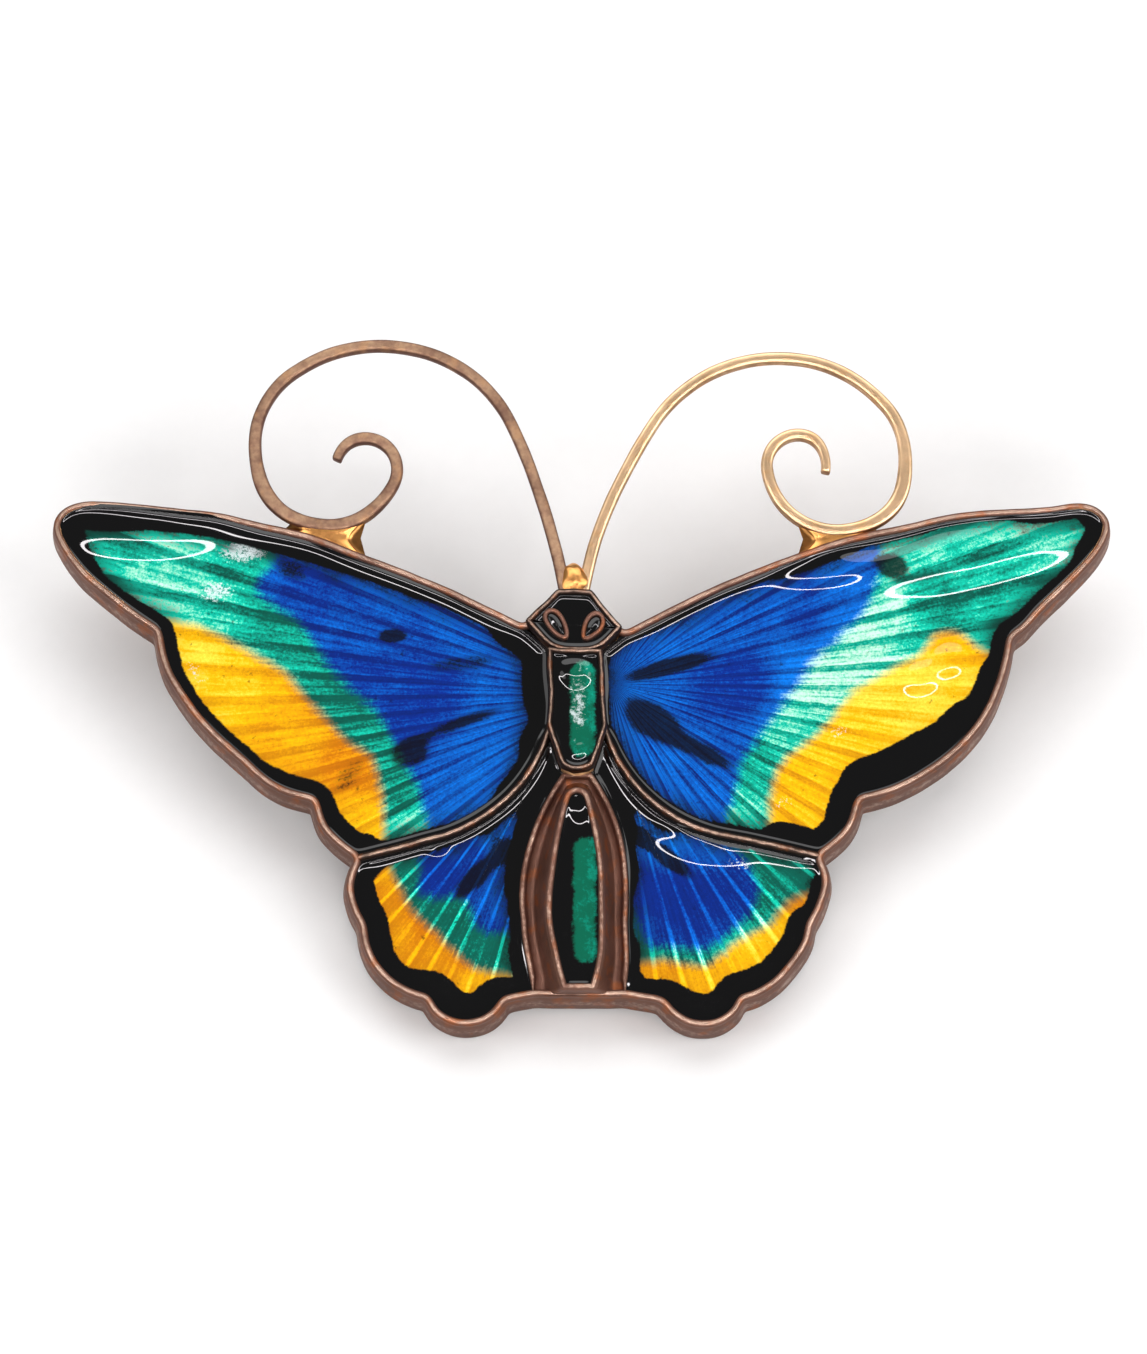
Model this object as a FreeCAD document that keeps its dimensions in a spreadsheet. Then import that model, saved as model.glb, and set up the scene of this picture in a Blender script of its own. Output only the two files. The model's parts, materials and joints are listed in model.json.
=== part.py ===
import FreeCAD, Part
import os
import re
import Sketcher

# Butterfly brooch, millimetres.
# Every piece is first thought of in the brooch's own face frame: X to the wearer's left wing tip,
# Y towards the head, Z out of the front, with Z = 0 on the back of the tray at the middle.
# The finished brooch lies face up on a table, so each piece is then leaned about X by one angle:
# the hinge, the catch and the tail edge of the hindwings touch the table together.

SIZES = {
    # half outline of the stamped tray, from the head round to the tail
    "head_top_half": 0.8, "head_top_y": 8.4,
    "head_side_x": 2.25, "head_side_y": 6.85,
    "lead_bend_x": 17.0, "lead_bend_y": 12.6, "lead_bulge": 0.42,
    "tip_top_x": 23.3, "tip_top_y": 13.05,
    "tip_x": 24.95, "tip_y": 11.9, "tip_bulge": 0.35,
    "tip_belly": 0.55,
    "fore_notch_x": 20.1, "fore_notch_y": 6.54, "fore_scallop": 1.75,
    "mid_notch_x": 12.75, "mid_notch_y": -1.07, "mid_scallop": 0.42,
    "wing_join_x": 10.7, "wing_join_y": -4.1, "hind_scallop": 0.5,
    "side_notch_x": 10.6, "side_notch_y": -7.3, "corner_scallop": 0.85,
    "low_notch_x": 7.5, "low_notch_y": -10.88, "lobe_scallop": 1.2,
    "tail_notch_x": 3.74, "tail_notch_y": -11.0,
    "tail_half": 2.1, "tail_y": -10.6,
    # section of the tray
    "tray_height": 2.0, "tray_floor": 0.5, "dome_radius": 280.0,
    "rim_width": 0.3, "wing_enamel_depth": 0.25,
    # cloison between forewing and hindwing, from the thorax out to the wing join
    "divider_width": 0.3, "divider_root_x": 1.35, "divider_root_y": 2.2,
    "divider_bend_x": 3.4, "divider_bend_y": -1.5, "divider_root_bulge": 0.35,
    "divider_mid_x": 7.3, "divider_mid_y": -3.25, "divider_mid_bulge": 0.35,
    # head: six-sided cell with two slanting oval eye rings
    "head_low_half": 1.1, "head_low_y": 5.65, "head_height": 2.6, "head_floor": 1.4,
    "head_enamel_depth": 0.2,
    "eye_x": 0.86, "eye_y": 7.1, "eye_long": 0.72, "eye_short": 0.42, "eye_slant": 55.0,
    "eye_wall": 0.16,
    # thorax
    "thorax_top_half": 1.28, "thorax_wide_half": 1.56, "thorax_wide_y": 1.8,
    "thorax_low_half": 0.8, "thorax_low_y": -0.1, "thorax_tail_bulge": 0.3,
    "thorax_height": 3.0, "thorax_floor": 1.7, "thorax_enamel_depth": 0.25,
    # abdomen: low outer ridge, a channel, and a shoulder that climbs to the raised inner rim
    "abdomen_top_half": 0.7, "abdomen_top_y": -0.2, "abdomen_wide_half": 2.45,
    "abdomen_wide_y": -7.1, "abdomen_side_bulge": 0.65, "abdomen_tail_bulge": 0.1,
    "channel_depth": 0.45,
    "inner_top_half": 0.6, "inner_top_y": -1.55, "inner_top_bulge": 0.4,
    "inner_wide_half": 1.35, "inner_side_bulge": 0.2, "inner_tail_half": 0.75,
    "inner_tail_gap": 0.12, "inner_tail_bulge": 0.12,
    "abdomen_height": 3.2, "abdomen_floor": 2.0, "abdomen_enamel_depth": 0.3,
    # antennae: square-cut wire, bent by hand through five arcs (radius, then turn in degrees)
    "wire_width": 0.56, "wire_depth": 0.6, "wire_edge": 0.14, "wire_level": 1.2,
    "wire_root_x": 0.4, "wire_heading": 81.0,
    "right_arc_one": 22.9, "right_turn_one": 22.0,
    "right_arc_two": 7.0, "right_turn_two": 107.0,
    "right_arc_three": 3.65, "right_turn_three": 123.0,
    "right_arc_four": 3.25, "right_turn_four": 94.0,
    "right_arc_five": 1.5, "right_turn_five": 200.0,
    "left_arc_one": 24.2, "left_turn_one": 21.5,
    "left_arc_two": 7.25, "left_turn_two": 94.0,
    "left_arc_three": 4.15, "left_turn_three": 102.0,
    "left_arc_four": 3.5, "left_turn_four": 104.0,
    "left_arc_five": 1.55, "left_turn_five": 190.0,
    # solder: a bead at the head and a web where each wire meets the leading edge
    "root_bead_half": 0.9, "root_bead_length": 0.7, "root_bead_rise": 0.45,
    "web_aside": 0.4, "web_half": 1.9, "web_under": 0.4, "web_over": 0.24, "web_slant": 22.0,
    # findings on the back: all share the line of the pin
    "pin_line_y": 5.2, "pin_line_drop": 2.0, "seat_drop": 0.65,
    "hinge_x": -12.5, "catch_x": 11.4,
    "patch_half_length": 2.7, "patch_half_width": 1.9,
    # hinge
    "ear_radius": 1.13, "ear_thickness": 0.42, "bracket_base": 0.3,
    "eye_radius": 0.86, "eye_width": 1.1, "eye_side_gap": 0.08,
    "rivet_radius": 0.3, "rivet_running_gap": 0.02, "rivet_head_radius": 0.55,
    "rivet_head_height": 0.22,
    # pin
    "pin_root_radius": 0.6, "pin_straight_start": 1.8,
    "pin_radius": 0.4, "pin_straight_end": 23.0, "pin_neck_radius": 0.34, "pin_neck_end": 27.0,
    "pin_tip_radius": 0.06, "pin_tip_end": 29.6,
    # rotating safety catch
    "catch_length": 4.2, "housing_radius": 1.35, "housing_wall": 0.4, "foot_half": 0.95,
    "mouth_gap": 0.15, "roller_gap": 0.03, "roller_bore_gap": 0.13, "slot_gap": 0.09,
    "tab_reach": 1.95, "tab_thickness": 0.36, "tab_length": 1.5, "tab_angle": 50.0,
    "tab_end_gap": 0.12, "window_angle": 146.0,
}

WORKED_OUT = {
    # lean: the line that touches the hinge ear and the tail edge of the tray back
    "lobe_low_y": "(low_notch_y + tail_notch_y) / 2 - lobe_scallop",
    "lobe_back": "-(((low_notch_x + tail_notch_x) / 2)^2) / (2 * dome_radius)",
    "bracket_half": "eye_width / 2 + eye_side_gap + ear_thickness",
    "ear_low_y": "pin_line_y - bracket_half",
    "ear_low": "-pin_line_drop - ear_radius",
    "lean": "atan((lobe_back - ear_low) / (ear_low_y - lobe_low_y))",
    # height of the table under the face frame, and the middle of the leaned brooch
    "lift": "-(ear_low_y * sin(lean) + ear_low * cos(lean))",
    "wire_top_y": "head_top_y - left_arc_one * cos(wire_heading) + left_arc_two + wire_width / 2"
                  " + (left_arc_one - left_arc_two) * cos(wire_heading - left_turn_one)",
    "shift": "-(wire_top_y * cos(lean) - wire_level * sin(lean)"
             " + lobe_low_y * cos(lean) - tray_height * sin(lean)) / 2",
    "pin_z": "-pin_line_drop",
    "seat_height": "pin_line_drop - seat_drop",
    "dome_centre": "tray_height - dome_radius",
    "bore": "housing_radius - housing_wall",
    "roller_radius": "bore - roller_gap",
    "roller_bore": "pin_radius + roller_bore_gap",
    "slot_half": "pin_radius + slot_gap",
    "mouth_half": "pin_radius + mouth_gap",
    "thorax_top_y": "head_low_y + 0.1",
    "inner_tail_y": "tail_y + inner_tail_gap",
}

ARCS = ("one", "two", "three", "four", "five")


def loop_foot(side):
    """Formulas for the lowest point of a wire's loop, which is the foot of its fourth arc."""
    x = "wire_root_x + %s_arc_one * sin(wire_heading)" % side
    y = "head_top_y - %s_arc_one * cos(wire_heading)" % side
    heading = "wire_heading"
    for before, after in zip(ARCS[:3], ARCS[1:4]):
        heading += " - %s_turn_%s" % (side, before)
        change = "(%s_arc_%s - %s_arc_%s)" % (side, before, side, after)
        x += " - %s * sin(%s)" % (change, heading)
        y += " + %s * cos(%s)" % (change, heading)
    return x, "%s - %s_arc_four" % (y, side)


for loop_side in ("left", "right"):
    low_x, low_y = loop_foot(loop_side)
    WORKED_OUT[loop_side + "_web_x"] = low_x + " + web_aside"
    WORKED_OUT[loop_side + "_web_y"] = low_y
    # the web reaches from the wire down to the straight line under the leading edge
    WORKED_OUT[loop_side + "_web_reach"] = (
        "%s_web_y - head_side_y - (%s_web_x - head_side_x) * (lead_bend_y - head_side_y)"
        " / (lead_bend_x - head_side_x)" % (loop_side, loop_side))


def words(text):
    """Write an expression on sheet names in full: pin_radius -> Sizes.pin_radius."""
    def full(match):
        name = match.group(0)
        if name in SIZES:
            return "Sizes." + name
        if name in WORKED_OUT:
            return "WorkedOut." + name
        return name
    return re.sub(r"[a-z][a-z_]*", full, text)


def number(text):
    """The present value of an expression on the sheets."""
    result = doc.Sizes.evalExpression(words(text))
    return float(getattr(result, "Value", result))


def fill_sheet(name, cells, formula):
    """Make a spreadsheet with a word in column A and its value, under that alias, in column B."""
    sheet = doc.addObject("Spreadsheet::Sheet", name)
    for row, alias in enumerate(cells, start=1):
        sheet.set("A%d" % row, alias)
        sheet.setAlias("B%d" % row, alias)
    for row, (alias, value) in enumerate(cells.items(), start=1):
        sheet.set("B%d" % row, "=" + words(value) if formula else str(value))
    doc.recompute()
    return sheet


def bind(item, **properties):
    """Tie properties to expressions; a double underscore stands for a dot."""
    for name, text in properties.items():
        item.setExpression(name.replace("__", "."), words(text))


def seat(item, x="0", y="0", z="0"):
    """Give a finished sub-part the common lean, with its local origin at (x, y, z) of the face frame."""
    item.Placement = FreeCAD.Placement(FreeCAD.Vector(), FreeCAD.Rotation(FreeCAD.Vector(1, 0, 0), 1))
    bind(item, Placement__Rotation__Angle="lean", Placement__Base__x=x,
         Placement__Base__y="(%s) * cos(lean) - (%s) * sin(lean) + shift" % (y, z),
         Placement__Base__z="(%s) * sin(lean) + (%s) * cos(lean) + lift" % (y, z))
    return item


# ---- sketches -------------------------------------------------------------------------------

def arc_between(start, finish, sagitta):
    """Counter-clockwise arc with its ends on two points, bulging left of the run if positive."""
    chord = finish - start
    left = FreeCAD.Vector(-chord.y, chord.x, 0).normalize()
    radius = chord.Length ** 2 / (8 * abs(sagitta)) + abs(sagitta) / 2
    side = 1 if sagitta > 0 else -1
    centre = (start + finish) * 0.5 + left * (sagitta - side * radius)
    first, last = (finish, start) if sagitta > 0 else (start, finish)
    turns = [FreeCAD.Vector(1, 0, 0).getAngle(point - centre) * (1 if point.y >= centre.y else -1)
             for point in (first, last)]
    return Part.ArcOfCircle(Part.Circle(centre, FreeCAD.Vector(0, 0, 1), radius), *turns)


def radius_of(start, finish, bulge):
    """Expression for the radius of an arc over a chord with a given bulge."""
    chord = "((%s - (%s))^2 + (%s - (%s))^2)" % (start[0], finish[0], start[1], finish[1])
    return "%s / (8 * abs(%s)) + abs(%s) / 2" % (chord, bulge, bulge)


def draw_loop(sketch, corners, bulges):
    """Closed outline through corners; each stretch is a line (None) or an arc of a given bulge."""
    count = len(corners)
    points = [FreeCAD.Vector(number(x), number(y), 0) for x, y in corners]
    shapes = []
    for index, bulge in enumerate(bulges):
        start, finish = points[index], points[(index + 1) % count]
        shapes.append(arc_between(start, finish, number(bulge)) if bulge
                      else Part.LineSegment(start, finish))
    sketch.addGeometry(shapes, False)
    ends = [(1, 2) if (shape.StartPoint - point).Length < 1e-6 else (2, 1)
            for shape, point in zip(sketch.Geometry, points)]
    for index in range(count):
        following = (index + 1) % count
        sketch.addConstraint(Sketcher.Constraint(
            "Coincident", index, ends[index][1], following, ends[following][0]))
    for index, (x, y) in enumerate(corners):
        pin_point(sketch, index, ends[index][0], x, y)
        if bulges[index]:
            rule = radius_of(corners[index], corners[(index + 1) % count], bulges[index])
            measure(sketch, Sketcher.Constraint("Radius", index, number(rule)), rule)
    return sketch


def measure(sketch, constraint, rule):
    """Add a dimension to a sketch and tie it to an expression."""
    index = sketch.addConstraint(constraint)
    sketch.setExpression("Constraints[%d]" % index, words(rule))


def pin_point(sketch, shape, end, x, y):
    """Dimension one point of a sketch from the origin."""
    measure(sketch, Sketcher.Constraint("DistanceX", -1, 1, shape, end, number(x)), x)
    measure(sketch, Sketcher.Constraint("DistanceY", -1, 1, shape, end, number(y)), y)


def mirror(corners):
    """The same corners on the other side of the body, in the order that closes the outline."""
    return [("-(%s)" % x, y) for x, y in reversed(corners)]


def both_sides(corners, bulges, bottom=None, top=None):
    """Corners and bulges of an outline that is the same left and right, given its right half."""
    return corners + mirror(corners), bulges + [bottom] + bulges[::-1] + [top]


def outline(name, corners, bulges):
    """A sketch in the plane of the face."""
    return draw_loop(doc.addObject("Sketcher::SketchObject", name), corners, bulges)


def new_body(name):
    """A body whose label names its file."""
    body = doc.addObject("PartDesign::Body", name)
    body.Label = name
    return body


def body_sketch(body, name, plane, offset=None):
    """A sketch on one of a body's own origin planes, moved along the plane's normal."""
    sketch = body.newObject("Sketcher::SketchObject", name)
    support = [item for item in body.Origin.OriginFeatures if item.Role == plane][0]
    sketch.AttachmentSupport = [(support, "")]
    sketch.MapMode = "FlatFace"
    if offset:
        bind(sketch, AttachmentOffset__Base__z=offset)
    return sketch


def pad(body, name, sketch, length):
    """Material on both sides of a sketch."""
    feature = body.newObject("PartDesign::Pad", name)
    feature.Profile = sketch
    feature.SideType = "Symmetric"
    bind(feature, Length=length)
    return feature


def pocket(body, name, sketch, length):
    """A cut on both sides of a sketch."""
    feature = body.newObject("PartDesign::Pocket", name)
    feature.Profile = sketch
    feature.SideType = "Symmetric"
    bind(feature, Length=length)
    return feature


def revolve(body, name, sketch):
    """A full turn about the sketch's own horizontal axis."""
    feature = body.newObject("PartDesign::Revolution", name)
    feature.Profile = sketch
    feature.ReferenceAxis = (sketch, ["H_Axis"])
    feature.Angle = 360
    return feature


# ---- solids in the face frame -------------------------------------------------------------------

def prism(name, base, low, high):
    """A flat outline carried from one height to another."""
    solid = doc.addObject("Part::Extrusion", name)
    solid.Base = base
    solid.DirMode = "Custom"
    solid.Dir = FreeCAD.Vector(0, 0, 1)
    solid.Solid = True
    solid.FaceMakerClass = "Part::FaceMakerBullseye"
    bind(solid, LengthFwd=high, LengthRev="-(%s)" % low)
    return solid


def inset(name, base, distance):
    """An outline moved inwards (positive) or outwards (negative)."""
    offset = doc.addObject("Part::Offset2D", name)
    offset.Source = base
    offset.Join = "Arc"
    bind(offset, Value="-(%s)" % distance)
    return offset


def dome(name, depth):
    """The body of a long cylinder whose top lies a given depth under the crest of the tray."""
    cylinder = doc.addObject("Part::Cylinder", name)
    cylinder.Placement.Rotation = FreeCAD.Rotation(FreeCAD.Vector(1, 0, 0), 90)
    bind(cylinder, Radius="dome_radius - (%s)" % depth, Height="4 * tip_x",
         Placement__Base__y="2 * tip_x", Placement__Base__z="dome_centre")
    return cylinder


def cut(name, base, tool):
    """One solid less another."""
    result = doc.addObject("Part::Cut", name)
    result.Base = base
    result.Tool = tool
    return result


def common(name, *shapes):
    """What several solids share."""
    result = doc.addObject("Part::MultiCommon", name)
    result.Shapes = list(shapes)
    return result


def fuse(name, *shapes):
    """Several solids as one."""
    result = doc.addObject("Part::MultiFuse", name)
    result.Shapes = list(shapes)
    return result


def finished(item, name):
    """Name a finished sub-part in the face frame and lean it with the rest."""
    item.Label = name
    nodes.append(item)
    return seat(item)


# ---- the tray and its cells ---------------------------------------------------------------------

HIGH = "tray_height + 3"
LOW = "-3"


def tray_outline():
    """The scalloped edge of the stamping: seven scallops a side between pinched notches."""
    corners = [(name + ("_half" if name in ("head_top", "tail") else "_x"), name + "_y") for name in (
        "head_top", "head_side", "lead_bend", "tip_top", "tip", "fore_notch", "mid_notch",
        "wing_join", "side_notch", "low_notch", "tail_notch", "tail")]
    bulges = [None, "lead_bulge", None, "tip_bulge", "tip_belly", "fore_scallop", "mid_scallop",
              "hind_scallop", "corner_scallop", "lobe_scallop", None]
    return outline("tray_edge", *both_sides(corners, bulges))


def hindwing_zone():
    """Everything behind the middle line of the two cloisons that part the wings."""
    corners = [("divider_root_x", "divider_root_y"), ("divider_bend_x", "divider_bend_y"),
               ("divider_mid_x", "divider_mid_y"), ("wing_join_x", "wing_join_y"),
               ("2 * wing_join_x", "wing_join_y - 3"), ("2 * wing_join_x", "3 * tail_y")]
    bulges = ["-divider_root_bulge", "-divider_mid_bulge", None, None, None]
    return outline("hindwing_zone", *both_sides(corners, bulges))


def head_outline():
    """Six-sided head; its upper sides are the edge of the stamping."""
    corners = [("head_top_half", "head_top_y"), ("head_side_x", "head_side_y"),
               ("head_low_half", "head_low_y")]
    return outline("head_edge", *both_sides(corners, [None, None]))


def thorax_outline():
    """Long shield that widens to where the wings part, then tapers to a blunt tail."""
    corners = [("thorax_top_half", "thorax_top_y"), ("thorax_wide_half", "thorax_wide_y"),
               ("thorax_low_half", "thorax_low_y")]
    return outline("thorax_edge", *both_sides(corners, [None, None], "thorax_tail_bulge"))


def abdomen_ridge(name, inward):
    """Outer line of the abdomen, moved inwards by a given width all round."""
    corners = [("abdomen_top_half", "abdomen_top_y"), ("abdomen_wide_half", "abdomen_wide_y"),
               ("tail_half", "tail_y")]
    corners = [("%s - %s" % (x, inward), y) for x, y in corners]
    corners[2] = (corners[2][0], "tail_y + 0.02")
    return outline(name, *both_sides(corners, ["abdomen_side_bulge", "abdomen_tail_bulge"]))


def abdomen_inner():
    """Outer line of the raised rim round the abdomen's enamel."""
    corners = [("inner_top_half", "inner_top_y"), ("inner_wide_half", "abdomen_wide_y"),
               ("inner_tail_half", "inner_tail_y")]
    return outline("abdomen_rim", *both_sides(
        corners, ["inner_side_bulge", "inner_tail_bulge"], None, "inner_top_bulge"))


def eye_ring(side):
    """Wall of one oval eye ring, slanting towards the bottom of the head."""
    ovals = []
    for part, wall in (("out", "0"), ("in", "eye_wall")):
        oval = doc.addObject("Part::Ellipse", "eye_%s_%s" % (part, side))
        oval.Placement.Rotation = FreeCAD.Rotation(FreeCAD.Vector(0, 0, 1), 1)
        sign = "1" if side == "right" else "-1"
        turn = "eye_slant" if side == "right" else "180 - eye_slant"
        bind(oval, MajorRadius="eye_long - " + wall, MinorRadius="eye_short - " + wall,
             Placement__Base__x=sign + " * eye_x", Placement__Base__y="eye_y",
             Placement__Rotation__Angle=turn)
        ovals.append(prism("eye_%s_%s_solid" % (part, side), oval, LOW, HIGH))
    return cut("eye_ring_" + side, *ovals)


def make_tray_and_enamels():
    """The stamped tray with every cell sunk into it, and the enamel that fills each cell."""
    edge, head, thorax = tray_outline(), head_outline(), thorax_outline()
    ridge, channel = abdomen_ridge("abdomen_edge", "0"), abdomen_ridge("channel_edge", "rim_width")
    rim = abdomen_inner()
    doc.recompute()

    crest, back, floor = dome("crest", "0"), dome("back", "tray_height"), \
        dome("floor", "tray_height - tray_floor")
    blank = common("blank", prism("edge_solid", edge, LOW, HIGH), crest)
    shoulder_foot = outline_at("shoulder_foot", channel, "tray_height - channel_depth")
    shoulder_top = outline_at("shoulder_top", rim, "abdomen_height")
    shoulder = doc.addObject("Part::Loft", "shoulder")
    shoulder.Sections = [shoulder_foot, shoulder_top]
    shoulder.Solid = True
    dished = cut("dished", blank, prism(
        "channel_solid", channel, "tray_height - channel_depth", HIGH))
    raised = fuse("raised", dished, shoulder,
                  prism("head_solid", head, "0", "head_height"),
                  prism("thorax_solid", thorax, "0", "thorax_height"))
    hollow_back = cut("hollow_back", raised, back)

    # wing cells: inside the rim, clear of the body, split by the cloisons
    body_keep = fuse("body_keep", *[prism(item.Name + "_keep", item, LOW, HIGH)
                                    for item in (head, thorax, ridge)])
    inner = prism("inner_solid", inset("inner_edge", edge, "rim_width"), LOW, HIGH)
    open_cells = cut("open_cells", cut("cells_above_floor", inner, floor), body_keep)
    zone = hindwing_zone()
    doc.recompute()
    zone_solids = {}
    for name, reach in (("fore", "-divider_width / 2"), ("hind", "divider_width / 2")):
        zone_solids[name] = prism(name + "_zone", inset(name + "_zone_edge", zone, reach), LOW, HIGH)
    halves = {"left": half_space("left"), "right": half_space("right")}
    band = cut("divider_band", zone_solids["fore"], zone_solids["hind"])
    tray = fuse("tray_with_dividers", cut("tray_open", hollow_back, open_cells),
                common("dividers", open_cells, band, crest))
    glass = dome("glass", "wing_enamel_depth")
    for side, half in halves.items():
        fore = common("fore_cell_" + side, cut("fore_open_" + side, open_cells, zone_solids["fore"]),
                      half)
        hind = common("hind_cell_" + side, open_cells, zone_solids["hind"], half)
        for wing, cell in (("forewing", fore), ("hindwing", hind)):
            finished(common("%s_%s_glass" % (side, wing), cell, glass),
                     "%s_%s_enamel" % (side, wing))

    # cells of the body
    rings = fuse("eye_rings", eye_ring("left"), eye_ring("right"))
    for name, line in (("head", head), ("thorax", thorax), ("abdomen", rim)):
        wall = inset(name + "_wall", line, "rim_width")
        sunk = prism(name + "_cell", wall, name + "_floor", HIGH)
        fill = prism(name + "_fill", wall, name + "_floor",
                     "%s_height - %s_enamel_depth" % (name, name))
        if name == "head":
            sunk, fill = cut("head_cell_open", sunk, rings), cut("head_glass", fill, rings)
        tray = cut("tray_with_%s_cell" % name, tray, sunk)
        finished(fill, name + "_enamel")
    return finished(tray, "wing_tray")


def outline_at(name, source, height):
    """A drawn outline lifted to a height, as a section for a loft."""
    section = doc.addObject("Part::Offset2D", name)
    section.Source = source
    section.Value = 0
    bind(section, Placement__Base__z=height)
    return section


def half_space(side):
    """A block over one half of the brooch."""
    block = doc.addObject("Part::Box", side + "_half")
    bind(block, Length="2 * tip_x", Width="4 * tip_x", Height="2 * tip_x",
         Placement__Base__x="0" if side == "right" else "-2 * tip_x",
         Placement__Base__y="-2 * tip_x", Placement__Base__z="-tip_x")
    return block


# ---- antennae and solder ------------------------------------------------------------------------

def make_antenna(side):
    """A wire, flat underneath, swept along five tangent arcs that all turn one way, ending in a curl."""
    sign = 1 if side == "right" else -1
    body = new_body(side + "_antenna")
    path = body_sketch(body, side + "_bend", "XY_Plane", "wire_level")
    heading = number("wire_heading")
    place = FreeCAD.Vector(sign * number("wire_root_x"), number("head_top_y"), 0)
    for index, word in enumerate(ARCS):
        radius, turn = number("%s_arc_%s" % (side, word)), number("%s_turn_%s" % (side, word))
        aside = FreeCAD.Vector(sign, 0, 0)
        spin = FreeCAD.Rotation(FreeCAD.Vector(0, 0, 1), sign * (heading - 90))
        centre = place + spin.multVec(aside) * radius
        spin_end = FreeCAD.Rotation(FreeCAD.Vector(0, 0, 1), sign * (heading - turn - 90))
        finish = centre - spin_end.multVec(aside) * radius
        first, last = (finish, place) if sign == 1 else (place, finish)
        angles = [FreeCAD.Vector(1, 0, 0).getAngle(point - centre)
                  * (1 if point.y >= centre.y else -1) for point in (first, last)]
        path.addGeometry(Part.ArcOfCircle(Part.Circle(centre, FreeCAD.Vector(0, 0, 1), radius),
                                          *angles), False)
        near, far = (2, 1) if sign == 1 else (1, 2)
        if index:
            path.addConstraint(Sketcher.Constraint("Tangent", index - 1, far, index, near))
        else:
            pin_point(path, 0, near, "%d * wire_root_x" % sign, "head_top_y")
            pin_point(path, 0, 3,
                      "%d * (wire_root_x + %s_arc_one * sin(wire_heading))" % (sign, side),
                      "head_top_y - %s_arc_one * cos(wire_heading)" % side)
        rule = "%s_arc_%s" % (side, word)
        if index:
            measure(path, Sketcher.Constraint("Radius", index, number(rule)), rule)
        turn_rule = "%s_turn_%s" % (side, word)
        index_angle = path.addConstraint(Sketcher.Constraint(
            "Angle", index, FreeCAD.Units.Quantity("%f deg" % number(turn_rule))))
        path.setExpression("Constraints[%d]" % index_angle, words(turn_rule + " * 1 deg"))
        place, heading = finish, heading - turn
    section = body_sketch(body, side + "_section", "XZ_Plane", "-head_top_y")
    half, rise, edge = "wire_width / 2", "wire_depth / 2", "wire_edge"
    middle, top, low = "%d * wire_root_x" % sign, "wire_level + " + rise, "wire_level - " + rise
    shoulder, flat = "wire_level + %s - %s" % (rise, edge), "(%s - %s)" % (half, edge)
    corners = [("%s + %s" % (middle, flat), top), ("%s + %s" % (middle, half), shoulder),
               ("%s + %s" % (middle, half), low), ("%s - %s" % (middle, half), low),
               ("%s - %s" % (middle, half), shoulder), ("%s - %s" % (middle, flat), top)]
    draw_loop(section, corners, [None] * 6)
    doc.recompute()
    pipe = body.newObject("PartDesign::AdditivePipe", side + "_wire")
    pipe.Profile = section
    pipe.Spine = (path, ["Edge%d" % (index + 1) for index in range(len(ARCS))])
    nodes.append(seat(body))
    return body


def solder(name, place, half_sizes, slant, under, over, tools):
    """A flat flow of solder, cut back to what lies between the pieces that it joins."""
    oval = doc.addObject("Part::Ellipse", name + "_oval")
    oval.Placement.Rotation = FreeCAD.Rotation(FreeCAD.Vector(0, 0, 1), 1)
    bind(oval, MajorRadius=half_sizes[0], MinorRadius=half_sizes[1],
         Placement__Base__x=place[0], Placement__Base__y=place[1],
         Placement__Rotation__Angle=slant)
    flow = prism(name + "_flow", oval, "wire_level - " + under, "wire_level + " + over)
    leaned = seat(cut(name + "_outside", flow, doc.edge_solid))
    for index, tool in enumerate(tools):
        leaned = cut("%s_trim_%d" % (name, index), leaned, tool)
    leaned.Label = name
    nodes.append(leaned)


# ---- findings on the back ------------------------------------------------------------------------

def make_patch(name, x, tray):
    """Oval plate soldered to the back, trimmed to the curve of the tray."""
    oval = doc.addObject("Part::Ellipse", name + "_oval")
    bind(oval, MajorRadius="patch_half_length", MinorRadius="patch_half_width",
         Placement__Base__x=x, Placement__Base__y="pin_line_y")
    plate = seat(prism(name + "_plate", oval, "-seat_drop", "0"))
    patch = cut(name + "_trim", plate, tray)
    patch.Label = name
    nodes.append(patch)


def make_hinge_bracket():
    """One folded strip: a base with two rounded ears that the rivet passes through."""
    body = new_body("hinge_bracket")
    width = "2 * bracket_half"
    profile = [("ear_radius", "seat_height"), ("ear_radius", "0"), ("0", "-ear_radius"),
               ("-ear_radius", "0"), ("-ear_radius", "seat_height")]
    quarter = "ear_radius * (1 - sqrt(0.5))"
    pad(body, "ears", draw_loop(body_sketch(body, "ear_shape", "XZ_Plane"), profile,
                                [None, quarter, quarter, None, None]), width)
    gap_top = "seat_height - bracket_base"
    gap = [("2 * ear_radius", gap_top), ("2 * ear_radius", "-2 * ear_radius"),
           ("-2 * ear_radius", "-2 * ear_radius"), ("-2 * ear_radius", gap_top)]
    pocket(body, "ear_gap", draw_loop(body_sketch(body, "gap_shape", "XZ_Plane"), gap, [None] * 4),
           "eye_width + 2 * eye_side_gap")
    pocket(body, "rivet_hole", draw_circle(body_sketch(body, "hole_shape", "XZ_Plane"),
                                           "rivet_radius"), width + " + 1")
    nodes.append(seat(body, "hinge_x", "pin_line_y", "pin_z"))


def draw_circle(sketch, radius):
    """A circle about the sketch's origin."""
    index = sketch.addGeometry(Part.Circle(FreeCAD.Vector(), FreeCAD.Vector(0, 0, 1), number(radius)))
    sketch.addConstraint(Sketcher.Constraint("Coincident", index, 3, -1, 1))
    measure(sketch, Sketcher.Constraint("Radius", index, number(radius)), radius)
    return sketch


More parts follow.
